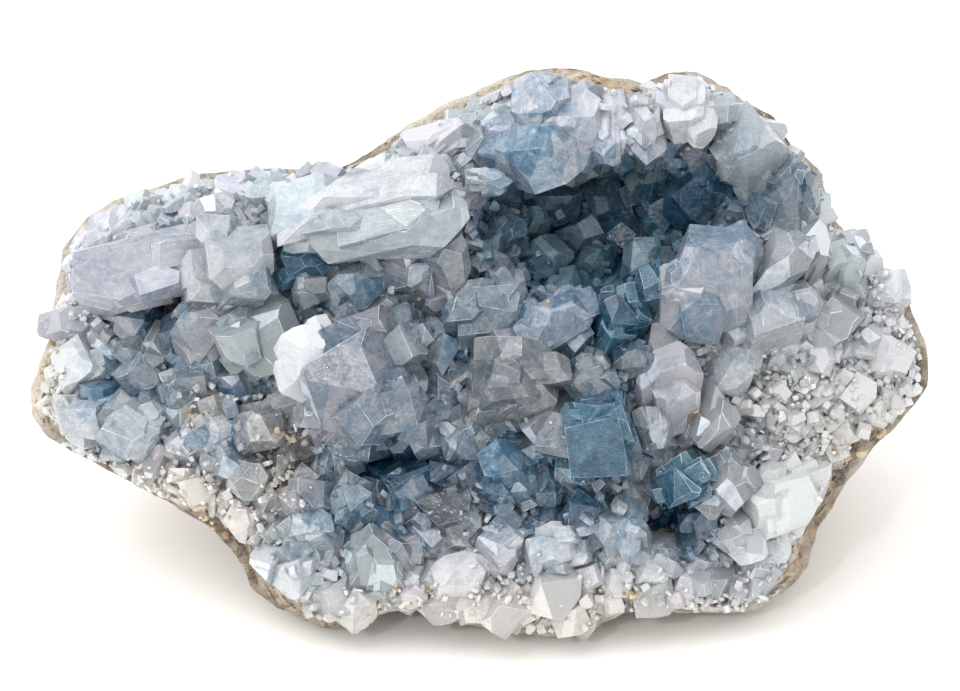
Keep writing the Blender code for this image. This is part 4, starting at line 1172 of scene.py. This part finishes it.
def druse_crystals(chance):
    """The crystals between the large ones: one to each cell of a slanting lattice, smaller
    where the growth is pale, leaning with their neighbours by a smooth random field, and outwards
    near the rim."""
    rows, columns = np.meshgrid(np.arange(-14, 15), np.arange(-24, 25), indexing="ij")
    across = (columns + 0.5 * (rows % 2)) * DRUSE_SPACING + chance.uniform(-1.2, 1.2, rows.shape)
    up = rows * 0.87 * DRUSE_SPACING + chance.uniform(-1.2, 1.2, rows.shape)
    across, up = across.ravel(), up.ravel()
    free = (rim_share(across, up) < 0.95) & (hollow_hill(across, up) < 0.05)
    free &= bare_rock(across, up) < 0.4
    for hill, rise in hills(SWELLINGS, across, up):
        if rise < 0:
            free &= hill < 0.3
    across, up = across[free], up[free]
    share, pale = rim_share(across, up), paleness(across, up)
    spot = np.stack((across, up, 0 * up), -1)
    lean_across = 0.62 * noise(spot, 12.0, 51) + chance.normal(0, 0.22, len(across))
    lean_up = 0.62 * noise(spot, 12.0, 52) + chance.normal(0, 0.22, len(across)) + 0.12
    lean_across = lean_across + 0.5 * share ** 3 * across / 60
    lean_up = lean_up + 0.5 * share ** 3 * up / 40
    size = chance.uniform(3.6, 7.6, len(across)) * (1 - 0.30 * pale)
    size *= 1 + 0.4 * place_share(DEEP_BLUE_AND_SHADED_PLACES, across, up)
    long = size * chance.uniform(1.3, 2.3, len(across))
    stand = chance.uniform(-0.6, 2.6, len(across)) * (1 - 0.35 * pale)
    tilt = np.degrees(np.arctan(np.hypot(lean_across, lean_up)))
    heading = np.degrees(np.arctan2(lean_up, lean_across))
    turn = 90 * noise(spot, 16.0, 53) + chance.normal(0, 18, len(across))
    found = []
    for number in range(len(across)):
        habit = ("chisel", "point", "block", "chisel", "stub")[chance.integers(5)]
        sunk = 0.5 * long[number] * math.cos(math.radians(tilt[number]))
        lift = stand[number] - sunk + 0.3 * size[number]
        found.append((
            across[number], up[number], lift, long[number], size[number],
            size[number] * chance.uniform(0.65, 0.95), tilt[number], heading[number], turn[number], habit,
            finish_for(across[number], up[number], chance),
        ))
    return found


def finish_for(across, up, chance):
    """A finish that suits the place: clear and blue inside, milky and frosted where it is pale."""
    share = float(paleness(across, up)) + chance.uniform(-0.35, 0.35)
    if share > 0.72:
        return "frosted"
    if share > 0.38:
        return "milky"
    return "clear" if chance.uniform() < 0.6 else "milky"


# The shapes of the small crystals: habit and seed of its unevenness
SMALL_SHAPES = (("stub", 21), ("block", 22), ("chisel", 23), ("point", 24), ("stub", 25), ("chisel", 26))


def small_crystals(name, count, sizes, wanted, seed, material, grown, cling):
    """Small crystals strewn over the crust and the flanks of the larger ones: a handful of shapes,
    each carried to many places by a turn, a size along each axis and a shift, all as arrays.
    wanted gives the chance of each place, and cling how far up a crystal they still sit (mm)."""
    chance = np.random.default_rng(seed)
    tries = 9 * count
    across, up = chance.uniform(-75, 75, tries), chance.uniform(-48, 47, tries)
    keep = chance.uniform(0, 1, len(across)) < wanted(across, up)
    across, up = across[keep], up[keep]
    rise, height, normal = relief(across, up, grown)
    keep = np.flatnonzero(chance.uniform(0, 1, len(across)) < np.exp(-rise / cling))[:count]
    size = sizes[0] * (sizes[1] / sizes[0]) ** chance.uniform(0, 1, len(keep)) ** 1.5
    size *= 1 - 0.35 * (rise[keep] > 0.2)
    normal = normal[keep]
    middle = np.stack((across[keep], up[keep], height[keep]), -1) + 0.22 * size[:, None] * normal
    room = 1.3 * MM * size[:, None]
    low, high = np.array(cad_box)
    inside = ((place(middle) > low + room) & (place(middle) < high - room)).all(axis=1)
    size, normal, middle = size[inside], normal[inside], middle[inside]
    count = len(size)
    out = normal + 0.35 * np.array((0, 0, 1)) + chance.normal(0, 0.42, (count, 3))
    out /= np.linalg.norm(out, axis=1, keepdims=True)
    side = np.cross(out, chance.normal(0, 1, (count, 3)))
    side /= np.linalg.norm(side, axis=1, keepdims=True)
    axes = np.stack((side, np.cross(out, side), out), -1)
    stretch = np.stack((
        chance.uniform(0.6, 1.1, count), chance.uniform(0.5, 0.9, count), chance.uniform(1.1, 2.4, count),
    ), -1)
    points, faces, facets, marks, creams, own, start = [], [], [], [], [], [], 0
    for number, (habit, shape_seed) in enumerate(SMALL_SHAPES):
        mine = np.arange(number, count, len(SMALL_SHAPES))
        one_mm_crystal = (0, 0, 0, 1.0, 1.0, 1.0, 0, 0, 0, habit)
        sides = jittered_faces(one_mm_crystal, np.random.default_rng(shape_seed))
        corners, rings = solid_inside(*sides)
        sized = corners[None] * (stretch[mine] * size[mine, None])[:, None]
        turned = np.einsum("nij,nkj->nki", axes[mine], sized) + middle[mine, None]
        fans = np.array([
            (face, ring[0], *pair) for face, ring in enumerate(rings) for pair in zip(ring[1:-1], ring[2:])
        ])
        shifts = start + len(corners) * np.arange(len(mine))[:, None, None]
        faces.append((fans[None, :, 1:] + shifts).reshape(-1, 3))
        facets.append(chance.uniform(0, 1, (len(mine), len(rings)))[:, fans[:, 0]].ravel())
        points.append(turned.reshape(-1, 3))
        tint = np.repeat(chance.uniform(0, 1, len(mine)), len(corners))
        high = np.tile(corners[:, 2] + 0.5, len(mine)).clip(0, 1)
        extra = np.repeat(chance.normal(0, 0.10, len(mine)), len(corners))
        mark, cream = marks_at(points[-1][:, 0], points[-1][:, 1], tint, high, extra)
        marks.append(mark)
        creams.append(cream)
        own.append((sized + chance.uniform(0, 400, (len(mine), 1, 3))).reshape(-1, 3))
        start += len(mine) * len(corners)
    return mesh_object(name, place(np.concatenate(points)), np.concatenate(faces), [material],
                       facet=np.concatenate(facets), own_place=np.concatenate(own),
                       crystal=np.concatenate(marks), cream=np.concatenate(creams))


# Finishes

# Each one: lighter, warmer, transmission, roughness, absorption colour and density per metre, haze
# with its painted sparkle, and for two of them the gloss and the share of teal
CRYSTAL_FINISHES = {
    "clear": (0.20, 0.0, 0.60, 0.02, (0.42, 0.62, 0.74), 45, 1.0),
    "milky": (0.10, 0.0, 0.42, 0.06, (0.55, 0.70, 0.82), 40, 0.8),
    "frosted": (0.11, 0.1, 0.20, 0.14, (0.70, 0.78, 0.84), 0, 0.7),
    "smoky": (0.10, 0.06, 0.45, 0.05, (0.55, 0.56, 0.56), 60, 0.6),
    "deep": (0.28, -0.4, 0.50, 0.08, (0.25, 0.50, 0.70), 100, 0.5, 0.3, 0.55),
    "teal": (0.16, -0.4, 0.60, 0.02, (0.20, 0.62, 0.74), 60, 1.0, 0.5, 0.9),
    "sugary": (0.25, 0.05, 0.0, 0.20, WHITE, 0, 0.6),
    "small_clear": (0.08, 0.0, 0.35, 0.04, (0.40, 0.60, 0.75), 0, 0.8),
}
FINISHES = {
    finish: crystal_material(f"{finish}_celestite", *values) for finish, values in CRYSTAL_FINISHES.items()
}
FINISHES["rust"] = rust_material()
FROSTED_FACE = crystal_material("frosted_face", 0.10, 0.1, 0.10, 0.30, WHITE, 0, 0.8)
EDGE = worn_and_highlit_edge_material()


# The pieces

rind = rock_rind(rind_material())
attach(rind, "root")
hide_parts("rock_rind")

crust = massive_crust(crust_material())
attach(crust, "root")
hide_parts("crystal_crust")

chance = np.random.default_rng(31)
jitter = np.random.default_rng(3)

# The free room round each crystal of the solids: its place, and how far it reaches over the crust
taken = [
    (c[0], c[1], 0.42 * max(c[4], min(c[3], 16.0) * math.sin(math.radians(c[6]))))
    for c in (*NAMED_CRYSTALS, *rim_crystals())
]
solid_fillers = filler_crystals(np.random.default_rng(11), 19, (5.0, 8.0), taken)
grown = grow(NAMED_CRYSTALS, jitter, 8, 5, chance)
grown += grow([(*c, finish_for(c[0], c[1], chance)) for c in rim_crystals()], jitter, 3, 3, chance)
grown += grow([(*c, finish_for(c[0], c[1], chance)) for c in solid_fillers], jitter, 2, 3, chance)
grown += grow(druse_crystals(chance), chance, 0, 2, chance)
grown += grow(CLOSE_CRYSTALS, chance, 4, 3, chance)

for finish in ("clear", "teal", "milky", "frosted", "smoky"):
    chosen = [shape for shape in grown if shape.finish == finish]
    materials = [FINISHES[finish], FROSTED_FACE, EDGE]
    piece = crystal_object(f"{finish}_crystals", chosen, materials, EDGE_STRIP_WIDTH)
    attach(piece, "root")

lining = grow(HOLLOW_CRYSTALS, np.random.default_rng(5), 2, 2, chance)
materials = [FINISHES["deep"], FROSTED_FACE, EDGE]
deep = crystal_object("hollow_crystals", lining, materials, HOLLOW_EDGE_STRIP_WIDTH)
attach(deep, "root")
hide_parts("hollow_crust")


def over_the_face(across, up):
    """Everywhere inside the outline but the hollow and the bare rock."""
    inside = (rim_share(across, up) < 0.955) & (hollow_hill(across, up) < 0.1)
    return inside * (1 - bare_rock(across, up))


def where_blue(across, up):
    """Most often where the growth is clear."""
    return over_the_face(across, up) * (1 - 0.85 * paleness(across, up))


def where_pale(across, up):
    """Most often where the growth is pale."""
    return over_the_face(across, up) * (0.25 + 0.75 * paleness(across, up))


def near_the_rim(across, up):
    """The cream places and a band inside the outline."""
    share = rim_share(across, up)
    inside = (share < 0.972) * (1 - bare_rock(across, up))
    edge_band = 0.5 * smooth_step((share - 0.86) / 0.08)
    return inside * np.maximum(edge_band, place_share(CREAM_PLACES, across, up))


def at_rusty_places(across, up):
    """The rusty places, up to the outline."""
    return (rim_share(across, up) < 0.985) * place_share(RUSTY_PLACES, across, up)


def in_the_hollow(across, up):
    """Everywhere in the hollow."""
    return 1.0 * (hollow_hill(across, up) > 0.05)


# Small crystals: name, number at most, sizes (mm), where, seed, finish, how far up a crystal they
# sit (mm), slot
for name, count, sizes, wanted, seed, finish, cling, slot in (
    ("small_clear_crystals", 1300, (1.2, 3.0), where_blue, 41, "small_clear", 0.9, "celestite"),
    ("small_milky_crystals", 2000, (1.2, 3.6), where_pale, 42, "frosted", 1.3, "celestite"),
    ("sugary_grains", 4800, (0.7, 1.9), near_the_rim, 43, "sugary", 1.8, "celestite"),
    ("rusty_specks", 900, (0.5, 1.5), at_rusty_places, 45, "rust", 6.0, "rind"),
    ("small_hollow_crystals", 420, (1.6, 4.5), in_the_hollow, 44, "deep", 6.0, "deep_celestite"),
):
    growing = lining if finish == "deep" else grown
    piece = small_crystals(name, count, sizes, wanted, seed, FINISHES[finish], growing, cling)
    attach(piece, "root")


# Stage, light and camera

floor_material, _, floor_shader = shader_nodes("pale_floor")
floor_shader.inputs["Base Color"].default_value = (0.98, 0.955, 0.92, 1)
floor_shader.inputs["Roughness"].default_value = 0.9
floor_corners = 2.0 * np.array(((-1, -1, 0), (1, -1, 0), (1, 1, 0), (-1, 1, 0)))
floor = mesh_object("floor", floor_corners, np.array(((0, 1, 2, 3),)), [floor_material])

world = bpy.data.worlds.new("studio")
bpy.context.scene.world = world
world.use_nodes = True
sky = world.node_tree
sky_direction = sky.nodes.new("ShaderNodeSeparateXYZ")
sky.links.new(sky.nodes.new("ShaderNodeTexCoord").outputs["Generated"], sky_direction.inputs[0])
sky_height = weighted_sum(sky, 0.5, (sky_direction.outputs[2], 0.5))
sky_colour = ramp(sky, sky_height, (
    (0.0, (0.50, 0.50, 0.51)), (0.50, (0.58, 0.58, 0.59)), (0.75, (0.75, 0.75, 0.76)),
    (1.0, (0.92, 0.92, 0.93)),
))
sky.links.new(sky_colour, sky.nodes["Background"].inputs["Color"])
sky.nodes["Background"].inputs["Strength"].default_value = 1.6


def soft_light(name, spot, size, power):
    """A square light that faces the middle of the piece; size in metres, power in watts."""
    light = bpy.data.lights.new(name, "AREA")
    light.size = size
    light.energy = power
    made = bpy.data.objects.new(name, light)
    away = np.array(spot) - (0, 0, 0.03)
    made.location = spot
    made.rotation_euler = (
        math.acos(away[2] / np.linalg.norm(away)), 0, math.atan2(away[0], -away[1]),
    )
    bpy.context.scene.collection.objects.link(made)


soft_light("key light", (-0.6, -0.15, 1.0), 1.1, 7.0)
soft_light("glint light", (-0.5, -1.1, 0.9), 0.06, 3.2)

camera = bpy.data.cameras.new("camera")
camera.sensor_width = FILM_WIDTH
camera.lens = FILM_WIDTH * VIEW_DISTANCE / VIEW_WIDTH
camera_object = bpy.data.objects.new("camera", camera)
bpy.context.scene.collection.objects.link(camera_object)
camera_object.location = place((0, 0, VIEW_DISTANCE / MM)).tolist()
camera_object.rotation_euler = (math.pi / 2 - LEAN, 0, 0)
bpy.context.scene.camera = camera_object
bpy.context.scene.view_settings.view_transform = "Standard"
light_paths = bpy.context.scene.cycles
light_paths.max_bounces = 6
light_paths.transmission_bounces = 4
light_paths.diffuse_bounces = 2
light_paths.glossy_bounces = 2
